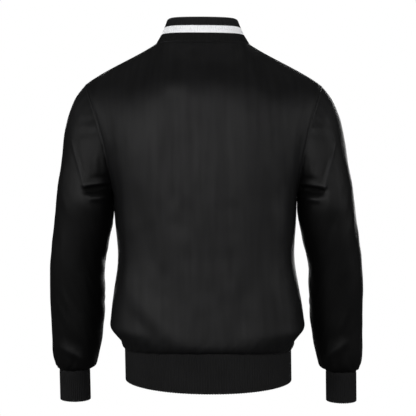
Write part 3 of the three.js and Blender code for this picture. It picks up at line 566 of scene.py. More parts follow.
def bodyNet(isBack, side, columns):  # side is 0 for the whole width, 1 or -1 for one half
    upright = lambda t: bodyPoint(isBack, np.full_like(t, 0.62), t)
    climbs = evenly(upright, 0, lastSection + 1, bodyDrape["rows"])
    climbs = np.interp(crowded(bodyDrape["rows"]), np.linspace(0, 1, len(climbs)), climbs)
    half = crowded(columns)
    spread = np.interp(half, [0, 0.45, 1], [0, neckShare, 1])  # keeps the neck point on a column
    us = np.concatenate([-spread[:0:-1], spread]) if side == 0 else spread * side
    if side == -1:
        us[0] = -1e-9
    grid = np.meshgrid(us, climbs)
    net = bodyPoint(isBack, grid[0], grid[1])
    if side == -1:
        net[:, 0, 0] = -frontEdge
    bends = np.argsort(np.abs(np.abs(us) - neckShare))[: 1 if side else 2]
    net = easeBend(net, bends, 9, 7)
    return easeJoin(net, np.abs(climbs - lastSection).argmin(), 9)


def drapeBody(name, isBack, side, seed, seams):
    net = bodyNet(isBack, side, bodyDrape["columns"] // 2)
    centres = net * np.array([0, 0, 1])
    normal, flip = outwardNormals(net, False, centres)
    u, v = runAlong(net, 1), runAlong(net, 0)
    width, height = u[:, -1:], v[-1:, :]
    edges = {"left": u, "right": width - u, "bottom": v, "top": height - v}
    nearest = np.minimum.reduce([edges[edge] for edge in seams if edge != "bottom"])
    relief = foldRelief(net, normal, "body") * smooth(nearest / 0.006)
    middle = u - u[:, u.shape[1] // 2][:, None] if side == 0 else u
    inside = smooth(np.minimum(v, height - v) / 0.03) * smooth(np.minimum(u, width - u) / 0.03)
    size, fine = bodyDrape["waveSize"], bodyDrape["dimpleSize"]
    relief += bodyDrape["wave"] * softNoise(middle, v, *size, seed) * inside
    relief += bodyDrape["dimple"] * softNoise(middle, v, *fine, seed + 1) * inside
    # the cloth above the waistband is fuller, with the gathers that the rib draws together
    half = gathers["waist"] | {"count": gathers["waist"]["count"] // (2 if side == 0 else 4)}
    relief += gatherRelief(u, v, width[0, 0], half, seed + 2) * smooth(nearest / 0.006)
    # the dips beside two seams fade where the seams meet
    sides = np.minimum(*[edges[edge] if edge in seams else width for edge in ("left", "right")])
    corner = smooth(np.hypot(sides, height - v) / stance["cornerEase"])
    for k, edge in enumerate(seams):
        along = v if edge in ("left", "right") else u
        relief += seamRelief(edges[edge], along, seed + 10 + k) * corner
    if side != 0:  # the front edge turns back over the zip's tape
        relief -= bodyDrape["edgeTurn"] * np.exp(-((u / bodyDrape["edgeReach"]) ** 2))
    net = net + normal * relief[..., None]
    piece = clothPiece(name, net, False, flip, stance["panelWall"])
    piece["cutWidth"], piece["cutLength"] = float(width.max()), float(height.max())
    return piece


sleeveDrape = {
    "rows": 180,
    "columns": 104,
    "creaseFrom": 0.12,  # shares of the length between which the rows are twice as close
    "creaseTo": 0.38,
    "toneFrom": -0.258,  # the height below which the forearm's painted shade starts
    "capFrom": -0.19,  # and above which the sleeve's head is painted lighter
    # colour multipliers: painted light on the sleeve's head, painted shade on the upper sleeve and the forearm
    "capPaintedLight": 1.4,
    "upperPaintedShade": 0.38,
    "forearmPaintedShade": 0.25,
    "bunch": 0.0007,  # height and spacing of the folds inside the bend of the arm
    "bunchLength": 0.064,
    "wave": 0.0010,
    "waveSize": (0.038, 0.075),
    "dimple": 0.0005,
    "dimpleSize": (0.018, 0.024),
}


def drapeSleeve(name, side, seed):
    last = len(sleeveRings) - 1
    lengthwise = lambda t: (sleevePoint(t, 0.0) + sleevePoint(t, math.pi) + sleevePoint(t, math.pi / 2)) / 3
    steps = evenly(lengthwise, 0, last, sleeveDrape["rows"])
    shares = crowded(sleeveDrape["rows"], (0.003, 0.007))
    middles = (shares[1:] + shares[:-1]) / 2
    creased = [m for m in middles if sleeveDrape["creaseFrom"] < m < sleeveDrape["creaseTo"]]
    steps = np.interp(np.unique(np.concatenate([shares, creased])), np.linspace(0, 1, len(steps)), steps)
    turns = evenly(lambda t: sleevePoint(4.0, t), math.pi, -math.pi, sleeveDrape["columns"])
    behind = [(a + b) / 2 for a, b in zip(turns[:-1], turns[1:]) if 0.35 < (a + b) / 2 < 2.9]
    turns = np.sort(np.concatenate([turns, behind]))[:0:-1]
    grid = np.meshgrid(turns, steps)
    net = sleevePoint(grid[1], grid[0])
    net[..., 0] *= side
    centres = net.mean(axis=1, keepdims=True)
    normal, flip = outwardNormals(net, True, centres)
    ring = np.concatenate([net, net[:, :1]], axis=1)
    u, v = runAlong(ring, 1), runAlong(net, 0)
    width, height = u[:, -1:], v[-1:, :]
    u = u[:, :-1]
    relief = foldRelief(net, normal, "sleeve") * smooth(v / 0.006)
    inside = smooth(np.minimum(v, height - v) / 0.03) * smooth(np.minimum(u, width - u) / 0.03)
    relief += sleeveDrape["wave"] * softNoise(u, v, *sleeveDrape["waveSize"], seed) * inside
    relief += sleeveDrape["dimple"] * softNoise(u, v, *sleeveDrape["dimpleSize"], seed + 1) * inside
    relief += gatherRelief(u, height - v, width[-1, 0], gathers["cuff"], seed + 2)
    shoulderTip = net[0, net[0, :, 2].argmax()]
    tipEase = smooth(np.linalg.norm(net - shoulderTip, axis=2) / stance["cornerEase"])
    relief += seamRelief(v, u, seed + 3) * tipEase + seamRelief(height - v, u, seed + 4)
    relief += seamRelief(np.minimum(u, width - u), v, seed + 5)
    # cloth bunches inside the bend of the arm, next to the body
    innerSide = np.clip(-(net[..., 0] - centres[..., 0]) * side / 0.05, 0, 1)
    bunch = np.sin(2 * math.pi * (v / sleeveDrape["bunchLength"] + 0.9 * softNoise(u, v, 0.09, 0.08, seed + 6)))
    relief += sleeveDrape["bunch"] * bunch * innerSide**4 * smooth((v - 0.02) / 0.05) * smooth((height - v) / 0.06)
    creasePaintedShading = paintedFoldShading(net, normal, "sleeve")
    net = net + normal * relief[..., None]
    # painted shade: the forearms' colour is darkened, the sleeve's head is painted lighter, and the creases carry
    # painted highlight and shade
    below = smooth((sleeveDrape["toneFrom"] - net[..., 2] + 0.012 * softNoise(u, v, 0.03, 0.03, seed + 7)) / 0.06)
    above = smooth((net[..., 2] - sleeveDrape["capFrom"]) / 0.09)
    tone = mix(mix(sleeveDrape["upperPaintedShade"], sleeveDrape["capPaintedLight"], above), sleeveDrape["forearmPaintedShade"], below)
    tone *= creasePaintedShading
    piece = clothPiece(name, net, True, flip, stance["panelWall"], tone)
    piece["cutWidth"], piece["cutLength"] = float(width.max()), float(height.max())
    return piece


ribForms = {
    "collar": dict(ribs=100, relief=0.0008, rows=15, seam=0.0030, tuck=0.003),
    "waistband": dict(ribs=176, relief=0.0010, rows=17, seam=0.0035, tuck=0.004),
    "cuff": dict(ribs=48, relief=0.0010, rows=15, seam=0.0035, tuck=0.004),
}
columnsPerRib = 8


def doubledRib(name, place, turns, closed, form, centreOf):  # a rib strip folded in two along its free edge
    wall = stance["ribWall"]
    levels = np.linspace(0, 1, form["rows"])
    grid = np.meshgrid(turns, levels)
    base = place(grid[1], grid[0])
    tall = runAlong(base, 0)[-1].mean()
    levels = levels * (1 - wall / 2 / tall)
    grid = np.meshgrid(turns, levels)
    base = place(grid[1], grid[0])
    normal, flip = outwardNormals(base, closed, centreOf(base))
    phase = (np.arange(len(turns)) % columnsPerRib) / columnsPerRib
    ridge = np.clip(0.5 - 0.5 * np.cos(2 * math.pi * phase), 0, 1) ** 0.55
    rise = runAlong(base, 0)
    fade = smooth(rise / form["seam"])
    sink = form["relief"] * (1 - ridge) * mix(0.35, 1, fade) + 0.0006 * (1 - fade)
    outer = base - normal * sink[..., None]
    up = base[-1] - base[-2]
    up /= np.linalg.norm(up, axis=-1, keepdims=True)
    radius = wall / 2
    rim = base[-1] - normal[-1] * radius
    around = []
    for angle in np.linspace(0, math.pi, 8)[1:-1]:
        reach = radius - sink[-1] * 0.8
        around.append(rim + (normal[-1] * math.cos(angle) + up * math.sin(angle)) * reach[:, None])
    inner = (base - normal * (wall - sink * 0.5)[..., None])[::-1]
    tuck = base[0] - (base[1] - base[0]) / np.linalg.norm(base[1] - base[0], axis=-1, keepdims=True) * form["tuck"]
    tucked = [[tuck - normal[0] * depth] for depth in (0.0022, 0.0042)]  # the seam's turning, behind the satin
    net = np.concatenate([tucked[0], outer, np.array(around), inner, tucked[1]])
    rows, count = net.shape[:2]
    heights = np.concatenate([[0], levels, np.ones(len(around)), levels[::-1], [0]])
    i, j = np.meshgrid(np.arange(rows), np.arange(count if closed else count - 1), indexing="ij")
    n, k = (i + 1) % rows, (j + 1) % count
    quads = fourCorners(i * count + j, i * count + k, n * count + k, n * count + j)
    u = runAlong(np.concatenate([net, net[:, :1]], axis=1) if closed else net, 1)
    u = np.repeat(u[:1], rows, axis=0)
    v = runAlong(np.concatenate([net, net[:1]]), 0)
    corners = [
        fourCorners(u[i, j], u[i, j + 1], u[i, j + 1], u[i, j]),
        fourCorners(v[i, j], v[i, k], v[i + 1, k], v[i + 1, j]),
    ]
    if not closed:  # the strip's two ends
        r = np.arange(rows // 2 - 1)
        first = np.stack([r, r + 1, rows - 2 - r, rows - 1 - r], axis=-1) * count
        last = first[:, ::-1] + count - 1
        quads = np.concatenate([quads, first, last])
        corners = [np.concatenate([run, np.zeros((2 * len(r), 4))]) for run in corners]
    piece = netObject(name, net, quads, corners, flip, "knitLevel", np.repeat(heights[:, None], count, axis=1))
    shadeSmooth(piece, 60)
    lengths = np.linalg.norm(np.diff(base, axis=1), axis=-1).sum(axis=1)
    piece["cutWidth"], piece["cutLength"] = float(lengths.max()), float(tall)
    print(f"{name}: {len(quads)} faces, {lengths.max():.3f} x {tall:.3f} m")
    return piece


def rideAndReplace(piece, node):
    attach(piece, "jacket")
    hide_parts(node)


panelPlans = [  # name, CAD node, whether it is the back, side, noise seed and the edges that are sewn
    ("back_panel", "back", True, 0, 11, ("left", "right", "bottom", "top")),
    ("front_panel_left", "front_left", False, 1, 29, ("right", "bottom", "top")),
    ("front_panel_right", "front_right", False, -1, 47, ("right", "bottom", "top")),
]
satinPieces = []
for name, node, isBack, side, seed, seams in panelPlans:
    panel = drapeBody(name, isBack, side, seed, seams)
    rideAndReplace(panel, node)
    satinPieces.append(panel)
sleevePlans = [("sleeve_cloth_left", "sleeve_left", 1, 61), ("sleeve_cloth_right", "sleeve_right", -1, 83)]
for name, node, side, seed in sleevePlans:
    sleeve = drapeSleeve(name, side, seed)
    rideAndReplace(sleeve, node)
    satinPieces.append(sleeve)
print("satin panels draped")


def ribTurns(place, start, end, ribs, closed):
    turns = evenly(lambda t: place(np.zeros_like(t), t), start, end, ribs * columnsPerRib)
    return turns[:-1] if closed else turns


onAxis = lambda net: net * np.array([0, 0, 1])
collarTurns = ribTurns(collarPoint, frontNeckTurn, -frontNeckTurn, ribForms["collar"]["ribs"], False)
collarKnit = doubledRib("collar_knit", collarPoint, collarTurns, False, ribForms["collar"], onAxis)
rideAndReplace(collarKnit, "collar")
waistTurns = ribTurns(waistPoint, -2, 2, ribForms["waistband"]["ribs"], False)
waistKnit = doubledRib("waistband_knit", waistPoint, waistTurns, False, ribForms["waistband"], onAxis)
rideAndReplace(waistKnit, "waistband")
cuffKnits = []
for name, node, side in [("cuff_knit_left", "cuff_left", 1), ("cuff_knit_right", "cuff_right", -1)]:
    placeCuff = lambda h, turn, side=side: cuffPoint(h, turn) * np.array([side, 1, 1])
    turns = ribTurns(placeCuff, math.pi, -math.pi, ribForms["cuff"]["ribs"], True)
    cuffMiddle = lambda net: net.mean(axis=1, keepdims=True)
    cuff = doubledRib(name, placeCuff, turns, True, ribForms["cuff"], cuffMiddle)
    rideAndReplace(cuff, node)
    cuffKnits.append(cuff)
print("ribs knitted")

# The zip behind the front edges: tapes, teeth, box, slider and pull tab

zipForm = {
    "tapeIn": 0.0018,  # the teeth close over the tape's edge
    "tapeOut": 0.017,
    "tapeWall": 0.0008,
    "behind": 0.0023,  # from the satin's outside to the tapes
    "behindRib": 0.0033,
    "toothPitch": 0.0030,
    "toothWidth": 0.0038,  # across the zip, from the tape's edge past the middle
    "toothHeight": 0.0014,
    "toothDepth": 0.0022,
    "chainHalf": 0.0026,
}


def zipLine():  # points up the zip on the tapes' outer face, and the directions out of it
    levels = np.linspace(1, 0, 20)
    onRib = waistPoint(levels, np.full(20, 2.0)) + np.array([0, zipForm["behindRib"], 0])
    climbs = np.linspace(0, lastSection + 1, 300)
    onSatin = bodyPoint(False, np.zeros(300), climbs)
    tangent = np.gradient(onSatin, axis=0)
    out = np.stack([np.zeros(300), -tangent[:, 2], tangent[:, 1]], axis=-1)
    out /= np.linalg.norm(out, axis=-1, keepdims=True)
    line = np.concatenate([onRib, onSatin - out * zipForm["behind"]])
    outs = np.concatenate([np.tile([0.0, -1.0, 0.0], (20, 1)), out])
    line[:, 0] = 0
    return line, outs


zipPoints, zipOuts = zipLine()
zipRun = np.concatenate([[0], np.cumsum(np.linalg.norm(np.diff(zipPoints, axis=0), axis=-1))])


def onZip(distance, x, depth):  # a place on the zip: x to the wearer's left, depth into the jacket
    distance = np.asarray(distance, float)
    at = np.stack([np.interp(distance, zipRun, zipPoints[:, k]) for k in range(3)], axis=-1)
    out = np.stack([np.interp(distance, zipRun, zipOuts[:, k]) for k in range(3)], axis=-1)
    out /= np.linalg.norm(out, axis=-1, keepdims=True)
    p = at - out * np.asarray(depth)[..., None]
    p[..., 0] = x
    return p


def zipTape(name, side):
    rows = np.linspace(0, zipRun[-1], 240)
    xs = np.linspace(zipForm["tapeIn"], zipForm["tapeOut"], 9) * side
    grid = np.meshgrid(xs, rows)
    net = onZip(grid[1], grid[0], 0.00002 * np.sin(grid[1] * 900) + 0 * grid[0])
    normal, flip = outwardNormals(net, False, net * np.array([1, 0, 1]))
    return clothPiece(name, net, False, flip, zipForm["tapeWall"])


boxFoot = 0.009
sliderTop = zipRun[-1] - 0.016
teethTo = sliderTop - 0.0036


def zipTooth():  # one tooth: a block with a narrow neck and a rounded head
    bpy.ops.mesh.primitive_cube_add(size=1, location=(0, 0, 0))
    tooth = bpy.context.object
    tooth.scale = (zipForm["toothWidth"], zipForm["toothDepth"], zipForm["toothHeight"])
    bpy.ops.object.transform_apply(location=False, rotation=False, scale=True)
    bpy.ops.object.mode_set(mode="EDIT")
    bpy.ops.mesh.select_mode(type="FACE")
    bpy.ops.mesh.select_all(action="DESELECT")
    bpy.ops.object.mode_set(mode="OBJECT")
    for face in tooth.data.polygons:
        face.select = face.normal.x < -0.9
    bpy.ops.object.mode_set(mode="EDIT")
    bpy.ops.mesh.extrude_region_move(TRANSFORM_OT_translate={"value": (-0.0005, 0, 0)})
    bpy.ops.transform.resize(value=(1, 0.75, 0.6))
    bpy.ops.mesh.select_all(action="SELECT")
    bpy.ops.object.mode_set(mode="OBJECT")
    applyModifier(tooth, "BEVEL", width=0.00022, segments=1, limit_method="ANGLE")
    return tooth


def zipChain(name):
    tooth = zipTooth()
    verts = np.array([v.co[:] for v in tooth.data.vertices])
    faces = [tuple(face.vertices) for face in tooth.data.polygons]
    bpy.data.objects.remove(tooth)
    spots, allFaces = [], []
    count = int((teethTo - boxFoot - 0.001) / (zipForm["toothPitch"] / 2))
    for k in range(count):
        side = 1 if k % 2 else -1
        distance = boxFoot + 0.0012 + k * zipForm["toothPitch"] / 2
        x = side * (verts[:, 0] - 0.0018 + zipForm["chainHalf"])
        placed = onZip(distance + verts[:, 2], x, verts[:, 1] + 0.0004)
        start = len(spots) * len(verts)
        spots.append(placed)
        for face in faces:
            order = face if side == 1 else face[::-1]
            allFaces.append([start + v for v in order])
    mesh = bpy.data.meshes.new(name)
    mesh.from_pydata(settled(np.concatenate(spots)).tolist(), [], allFaces)
    chain = linkMesh(name, mesh)
    selectOnly(chain)
    bpy.ops.object.mode_set(mode="EDIT")
    bpy.ops.mesh.select_all(action="SELECT")
    bpy.ops.mesh.normals_make_consistent(inside=False)
    bpy.ops.object.mode_set(mode="OBJECT")
    shadeSmooth(chain, 35)
    print(f"{name}: {count} teeth, {len(allFaces)} faces")
    return chain


tapes = []
for name, node, side in [("tape_left", "zip_tape_left", 1), ("tape_right", "zip_tape_right", -1)]:
    tape = zipTape(name, side)
    rideAndReplace(tape, node)
    tape["cutWidth"], tape["cutLength"] = zipForm["tapeOut"] - zipForm["tapeIn"], float(zipRun[-1])
    tapes.append(tape)
chain = zipChain("zip_teeth")
rideAndReplace(chain, "zip_chain")

# Materials


def newGroup(name, numbers, outputs):  # takes a vector and numbers, and gives values
    group = bpy.data.node_groups.new(name, "ShaderNodeTree")
    group.interface.new_socket(name="Vector", in_out="INPUT", socket_type="NodeSocketVector")
    for number, value in numbers.items():
        item = group.interface.new_socket(name=number, in_out="INPUT", socket_type="NodeSocketFloat")
        item.default_value = value
    for output in outputs:
        group.interface.new_socket(name=output, in_out="OUTPUT", socket_type="NodeSocketFloat")
    given = addNode(group, "NodeGroupInput", (-900, 0)).outputs
    result = addNode(group, "NodeGroupOutput", (700, 0)).inputs
    parts = addNode(group, "ShaderNodeSeparateXYZ", (-740, 0), {0: given["Vector"]}).outputs
    return group, given, result, parts


def addNode(tree, kind, place, inputs=None, **settings):
    node = tree.nodes.new(kind)
    node.location = place
    for name, value in settings.items():
        setattr(node, name, value)
    for key, value in (inputs or {}).items():
        if isinstance(value, bpy.types.NodeSocket):
            tree.links.new(value, node.inputs[key])
        else:
            node.inputs[key].default_value = value
    return node


def noiseOf(tree, place, vector, scale, detail):
    inputs = {"Vector": vector, "Scale": scale, "Detail": detail}
    return addNode(tree, "ShaderNodeTexNoise", place, inputs).outputs["Fac"]


def mathNode(tree, operation, place, *values):
    return addNode(tree, "ShaderNodeMath", place, dict(enumerate(values)), operation=operation).outputs[0]


def mixColour(tree, place, factor, a, b, blend="MIX"):
    inputs = {0: factor, 6: a, 7: b}  # the node's factor and its two colours
    return addNode(tree, "ShaderNodeMix", place, inputs, data_type="RGBA", blend_type=blend).outputs[2]


def remap(tree, place, value, low, high, toLow, toHigh):
    inputs = {"Value": value, "From Min": low, "From Max": high, "To Min": toLow, "To Max": toHigh}
    return addNode(tree, "ShaderNodeMapRange", place, inputs).outputs["Result"]


def useGroup(tree, group, place, **inputs):
    return addNode(tree, "ShaderNodeGroup", place, inputs, node_tree=group)


def greyOf(tree, place, level):
    return addNode(tree, "ShaderNodeCombineColor", place, {0: level, 1: level, 2: level}).outputs[0]


def clothMap(tree):
    return addNode(tree, "ShaderNodeUVMap", (-1100, 0), uv_map="cloth").outputs[0]


def attributeOf(tree, place, name):
    return addNode(tree, "ShaderNodeAttribute", place, attribute_name=name).outputs["Fac"]


def newMaterial(name):
    material = bpy.data.materials.new(name)
    material.use_nodes = True
    tree = material.node_tree
    return material, tree, tree.nodes["Principled BSDF"]


def finishShader(tree, shader, height, bump, **inputs):  # bump is its strength and its distance in metres
    relief = {"Height": height, "Strength": bump[0], "Distance": bump[1]}
    inputs["Normal"] = addNode(tree, "ShaderNodeBump", (-350, -250), relief).outputs[0]
    for name, value in inputs.items():
        socket = shader.inputs[name.replace("_", " ")]
        if isinstance(value, bpy.types.NodeSocket):
            tree.links.new(value, socket)
        else:
            socket.default_value = value


def softStreaksGroup():  # long faint streaks down the cloth and clouds across it, both 0 to 1
    group, given, result, parts = newGroup("softStreaks", {"Width": 0.01, "Length": 0.1}, ["Streaks", "Clouds"])
    across = mathNode(group, "DIVIDE", (-500, 80), parts[0], given["Width"])
    along = mathNode(group, "DIVIDE", (-500, -80), parts[1], given["Length"])
    place = addNode(group, "ShaderNodeCombineXYZ", (-320, 0), {0: across, 1: along})
    streaks = noiseOf(group, (-120, 80), place.outputs[0], 1.0, 2.0)
    clouds = noiseOf(group, (-120, -160), given["Vector"], 14.0, 3.0)
    group.links.new(streaks, result["Streaks"])
    group.links.new(clouds, result["Clouds"])
    return group


def threadWeaveGroup():  # threads over and under each other, as a height from 0 to 1
    group, given, result, parts = newGroup("threadWeave", {"Pitch": 0.0004, "Float": 4.0}, ["Height"])
    turn = mathNode(group, "DIVIDE", (-760, -180), 2 * math.pi, given["Pitch"])
    across = mathNode(group, "MULTIPLY", (-560, 80), parts[0], turn)
    along = mathNode(group, "MULTIPLY", (-560, -80), parts[1], turn)
    longAlong = mathNode(group, "DIVIDE", (-400, -80), along, given["Float"])
    warp = mathNode(group, "SINE", (-240, 80), across)
    shifted = mathNode(group, "MULTIPLY_ADD", (-400, 200), across, 0.4, longAlong)
    weft = mathNode(group, "SINE", (-240, -80), shifted)
    both = mathNode(group, "MULTIPLY_ADD", (-60, 0), weft, 0.35, warp)
    height = mathNode(group, "MULTIPLY_ADD", (120, 0), both, 0.37, 0.5)
    group.links.new(height, result["Height"])
    return group


def knitLoopsGroup():  # rows of small V-shaped stitches, as a height from 0 to 1
    group, given, result, parts = newGroup("knitLoops", {"Wale": 0.0012, "Course": 0.0009}, ["Height"])
    across = mathNode(group, "DIVIDE", (-580, 100), parts[0], given["Wale"])
    along = mathNode(group, "DIVIDE", (-580, -100), parts[1], given["Course"])
    vee = mathNode(group, "PINGPONG", (-400, 100), across, 0.5)
    bent = mathNode(group, "MULTIPLY_ADD", (-240, 0), vee, 1.3, along)
    turned = mathNode(group, "MULTIPLY", (-100, 0), bent, 2 * math.pi)
    stitch = mathNode(group, "SINE", (60, 0), turned)
    side = mathNode(group, "MULTIPLY", (-100, 160), vee, 4 * math.pi)
    column = mathNode(group, "SINE", (60, 160), side)
    both = mathNode(group, "MULTIPLY_ADD", (220, 60), stitch, 0.5, column)
    height = mathNode(group, "MULTIPLY_ADD", (380, 60), both, 0.3, 0.5)
    group.links.new(height, result["Height"])
    return group


streaksGroup = softStreaksGroup()
weaveGroup = threadWeaveGroup()
knitGroup = knitLoopsGroup()


satinLook = {
    "dark": (0.0036, 0.0036, 0.0038, 1),
    "light": (0.0056, 0.0056, 0.0059, 1),
    "roughLow": 0.47,
    "roughHigh": 0.57,
    "specular": 0.15,
    "bump": (0.35, 0.00006),
    "dullness": 0.5,  # extra roughness in the deepest creases
    "dullFrom": 0.06,
    "dullTo": 0.2,
}


def blackSatin():
    material, tree, shader = newMaterial("black_satin")
    cloth = clothMap(tree)
    soft = useGroup(tree, streaksGroup, (-850, 150), Vector=cloth, Width=0.011, Length=0.12)
    weave = useGroup(tree, weaveGroup, (-850, -200), Vector=cloth, Pitch=0.00038, Float=5.0)
    streaks = remap(tree, (-600, 250), soft.outputs["Streaks"], 0.35, 0.65, 0, 1)
    colour = mixColour(tree, (-350, 250), streaks, satinLook["dark"], satinLook["light"])
    # painted light and shade carried by the pieces multiply the colour; the darkest painted creases also get rougher
    tone = attributeOf(tree, (-850, 420), "tone")
    colour = mixColour(tree, (-150, 300), 1.0, colour, greyOf(tree, (-600, 420), tone), "MULTIPLY")
    clouds = mathNode(tree, "MULTIPLY_ADD", (-600, 50), soft.outputs["Clouds"], 0.5, 0.0)
    rough = mathNode(tree, "MULTIPLY_ADD", (-480, -20), soft.outputs["Streaks"], -0.5, clouds)
    rough = remap(tree, (-350, 0), rough, -0.2, 0.2, satinLook["roughLow"], satinLook["roughHigh"])
    dull = remap(tree, (-350, -120), tone, satinLook["dullFrom"], satinLook["dullTo"], satinLook["dullness"], 0)
    rough = mathNode(tree, "ADD", (-180, 0), rough, dull)
    height = mathNode(tree, "MULTIPLY_ADD", (-600, -200), soft.outputs["Streaks"], 4.0, weave.outputs["Height"])
    finish = {"Base_Color": colour, "Roughness": rough, "Specular_IOR_Level": satinLook["specular"]}
    finishShader(tree, shader, height, satinLook["bump"], **finish)
    return material


ribLook = {
    "dark": (0.0029, 0.0029, 0.0031, 1),
    "light": (0.0053, 0.0053, 0.0056, 1),
    "stripe": (0.90, 0.905, 0.92, 1),
    "stripeShade": (0.79, 0.795, 0.81, 1),
    # painted shade near the collar's seam and painted light towards its fold, as colour multipliers
    "paintedSeamShade": 0.42,
    "paintedFoldShading": 1.6,
    "stripeFrom": 0.347,  # shares of the collar's height
    "stripeTo": 0.645,
    "roughness": 0.85,
    "specular": 0.18,
    "bump": (0.6, 0.00025),
}


def ribKnit(name, striped):
    material, tree, shader = newMaterial(name)
    cloth = clothMap(tree)
    loops = useGroup(tree, knitGroup, (-850, -200), Vector=cloth, Wale=0.0011, Course=0.0010)
    soft = useGroup(tree, streaksGroup, (-850, 150), Vector=cloth, Width=0.02, Length=0.03)
    shade = mathNode(tree, "MULTIPLY_ADD", (-620, 100), loops.outputs["Height"], 0.5, soft.outputs["Clouds"])
    shade = remap(tree, (-460, 100), shade, 0.5, 1.0, 0, 1)
    colour = mixColour(tree, (-300, 250), shade, ribLook["dark"], ribLook["light"])
    if striped:  # painted shade: the knit is darkened near the seam and painted lighter towards the fold
        level = attributeOf(tree, (-850, 420), "knitLevel")
        above = mathNode(tree, "GREATER_THAN", (-620, 480), level, ribLook["stripeFrom"])
        below = mathNode(tree, "LESS_THAN", (-620, 340), level, ribLook["stripeTo"])
        inStripe = mathNode(tree, "MULTIPLY", (-460, 420), above, below)
        white = mixColour(tree, (-300, 450), shade, ribLook["stripeShade"], ribLook["stripe"])
        tone = remap(tree, (-300, 620), level, 0.2, 0.9, ribLook["paintedSeamShade"], ribLook["paintedFoldShading"])
        colour = mixColour(tree, (-120, 560), 1.0, colour, greyOf(tree, (-300, 780), tone), "MULTIPLY")
        colour = mixColour(tree, (60, 350), inStripe, colour, white)
    finish = {"Base_Color": colour, "Roughness": ribLook["roughness"], "Specular_IOR_Level": ribLook["specular"]}
    finishShader(tree, shader, loops.outputs["Height"], ribLook["bump"], **finish)
    return material


def wovenTape():
    material, tree, shader = newMaterial("woven_tape")
    weave = useGroup(tree, weaveGroup, (-850, 0), Vector=clothMap(tree), Pitch=0.0009, Float=1.0).outputs["Height"]
    colour = mixColour(tree, (-350, 200), weave, (0.006, 0.006, 0.0065, 1), (0.014, 0.014, 0.015, 1))
    finishShader(tree, shader, weave, (0.6, 0.0002), Base_Color=colour, Roughness=0.8)
    return material


def blackMetal():
    material, tree, shader = newMaterial("black_coated_metal")
    place = addNode(tree, "ShaderNodeTexCoord", (-1100, 0)).outputs["Object"]
    grain = noiseOf(tree, (-850, 0), place, 900.0, 2.0)
    wear = noiseOf(tree, (-850, -220), place, 420.0, 3.0)
    worn = remap(tree, (-600, -200), wear, 0.45, 0.8, 0, 1)
    colour = mixColour(tree, (-350, 200), worn, (0.016, 0.016, 0.017, 1), (0.030, 0.030, 0.032, 1))
    rough = remap(tree, (-350, 0), grain, 0.3, 0.7, 0.26, 0.44)
    finish = {"Base_Color": colour, "Roughness": rough, "Metallic": 0.85}
    finishShader(tree, shader, grain, (0.3, 0.00004), **finish)
    return material


def dress(piece, material):
    piece.data.materials.clear()
    piece.data.materials.append(material)


satin = blackSatin()
for piece in satinPieces:
    dress(piece, satin)
plainRib = ribKnit("black_rib_knit", False)
for piece in [waistKnit, *cuffKnits]:
    dress(piece, plainRib)
dress(collarKnit, ribKnit("striped_rib_knit", True))
tapeCloth = wovenTape()
for tape in tapes:
    dress(tape, tapeCloth)
metal = blackMetal()
dress(chain, metal)
for node in ("zip_box", "zip_stop_left", "zip_stop_right", "zip_slider", "zip_pull_tab"):
    for slot in frame["nodes"][node].material_slots:
        slot.material = metal
print("finishes applied")

# Floor, light and camera

studio = {
    "floorZ": -1.1,
    "background": 1.0,
    "fill": 0.05,  # light from all round that the jacket gets
    "lamps": [  # place, width, height and power of each soft strip
        ("back", (0.7, 3.2, 0.06), 5.6, 0.92, 116),
        ("left", (3.0, 1.2, 0.3), 2.8, 2.0, 33),
        ("right", (-2.9, 1.3, 0.3), 2.8, 2.0, 42),
        ("front", (-0.4, -3.1, -0.1), 3.2, 1.6, 95),
        ("top", (0.0, -0.8, 2.5), 3.0, 1.6, 5),
    ],
    "target": (0, 0, -0.33),
    "camera": (-0.00975, 2.5901, -0.0911),
    "tilt": 5,
    "lens": 115.36,
}


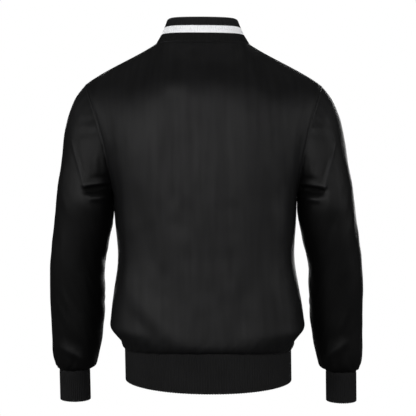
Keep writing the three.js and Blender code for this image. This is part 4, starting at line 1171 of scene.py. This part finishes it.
def paleFloor():
    bpy.ops.mesh.primitive_plane_add(size=14, location=(0, 0, studio["floorZ"]))
    floor = bpy.context.object
    floor.name = "floor"
    bpy.ops.object.transform_apply(location=True, rotation=True, scale=True)
    material = bpy.data.materials.new("pale_floor")
    material.use_nodes = True
    tree = material.node_tree
    tree.nodes.clear()
    glow = addNode(tree, "ShaderNodeEmission", (0, 0), {"Strength": studio["background"], "Color": (1, 1, 1, 1)})
    out = addNode(tree, "ShaderNodeOutputMaterial", (200, 0))
    tree.links.new(glow.outputs[0], out.inputs["Surface"])
    dress(floor, material)
    floor.visible_diffuse = False
    floor.visible_glossy = False
    floor.visible_shadow = False


def softLight(name, place, width, height, power):
    light = bpy.data.lights.new(name, "AREA")
    light.shape = "RECTANGLE"
    light.size = width
    light.size_y = height
    light.energy = power
    lamp = bpy.data.objects.new("light_" + name, light)
    lamp.visible_camera = False
    lamp.location = place
    direction = Vector(studio["target"]) - Vector(place)
    lamp.rotation_euler = direction.to_track_quat("-Z", "Y").to_euler()
    bpy.context.scene.collection.objects.link(lamp)
    return lamp


def plainWorld():
    world = bpy.data.worlds.new("studio")
    bpy.context.scene.world = world
    world.use_nodes = True
    tree = world.node_tree
    tree.nodes.clear()
    white = (1, 1, 1, 1)
    seen = addNode(tree, "ShaderNodeBackground", (0, 150), {"Color": white, "Strength": studio["background"]})
    felt = addNode(tree, "ShaderNodeBackground", (0, -50), {"Color": white, "Strength": studio["fill"]})
    path = addNode(tree, "ShaderNodeLightPath", (-200, 300))
    both = addNode(tree, "ShaderNodeMixShader", (250, 0))
    tree.links.new(path.outputs["Is Camera Ray"], both.inputs[0])
    tree.links.new(felt.outputs[0], both.inputs[1])
    tree.links.new(seen.outputs[0], both.inputs[2])
    out = addNode(tree, "ShaderNodeOutputWorld", (450, 0))
    tree.links.new(both.outputs[0], out.inputs["Surface"])


def photoCamera():
    data = bpy.data.cameras.new("camera")
    data.lens = studio["lens"]
    data.sensor_width = 36
    camera = bpy.data.objects.new("camera", data)
    camera.location = studio["camera"]
    camera.rotation_euler = (math.radians(90 - studio["tilt"]), 0, math.radians(180))
    bpy.context.scene.collection.objects.link(camera)
    bpy.context.scene.camera = camera


paleFloor()
plainWorld()
for lamp in studio["lamps"]:
    softLight(*lamp)
photoCamera()
bpy.context.scene.view_settings.view_transform = "Standard"

print("studio set")
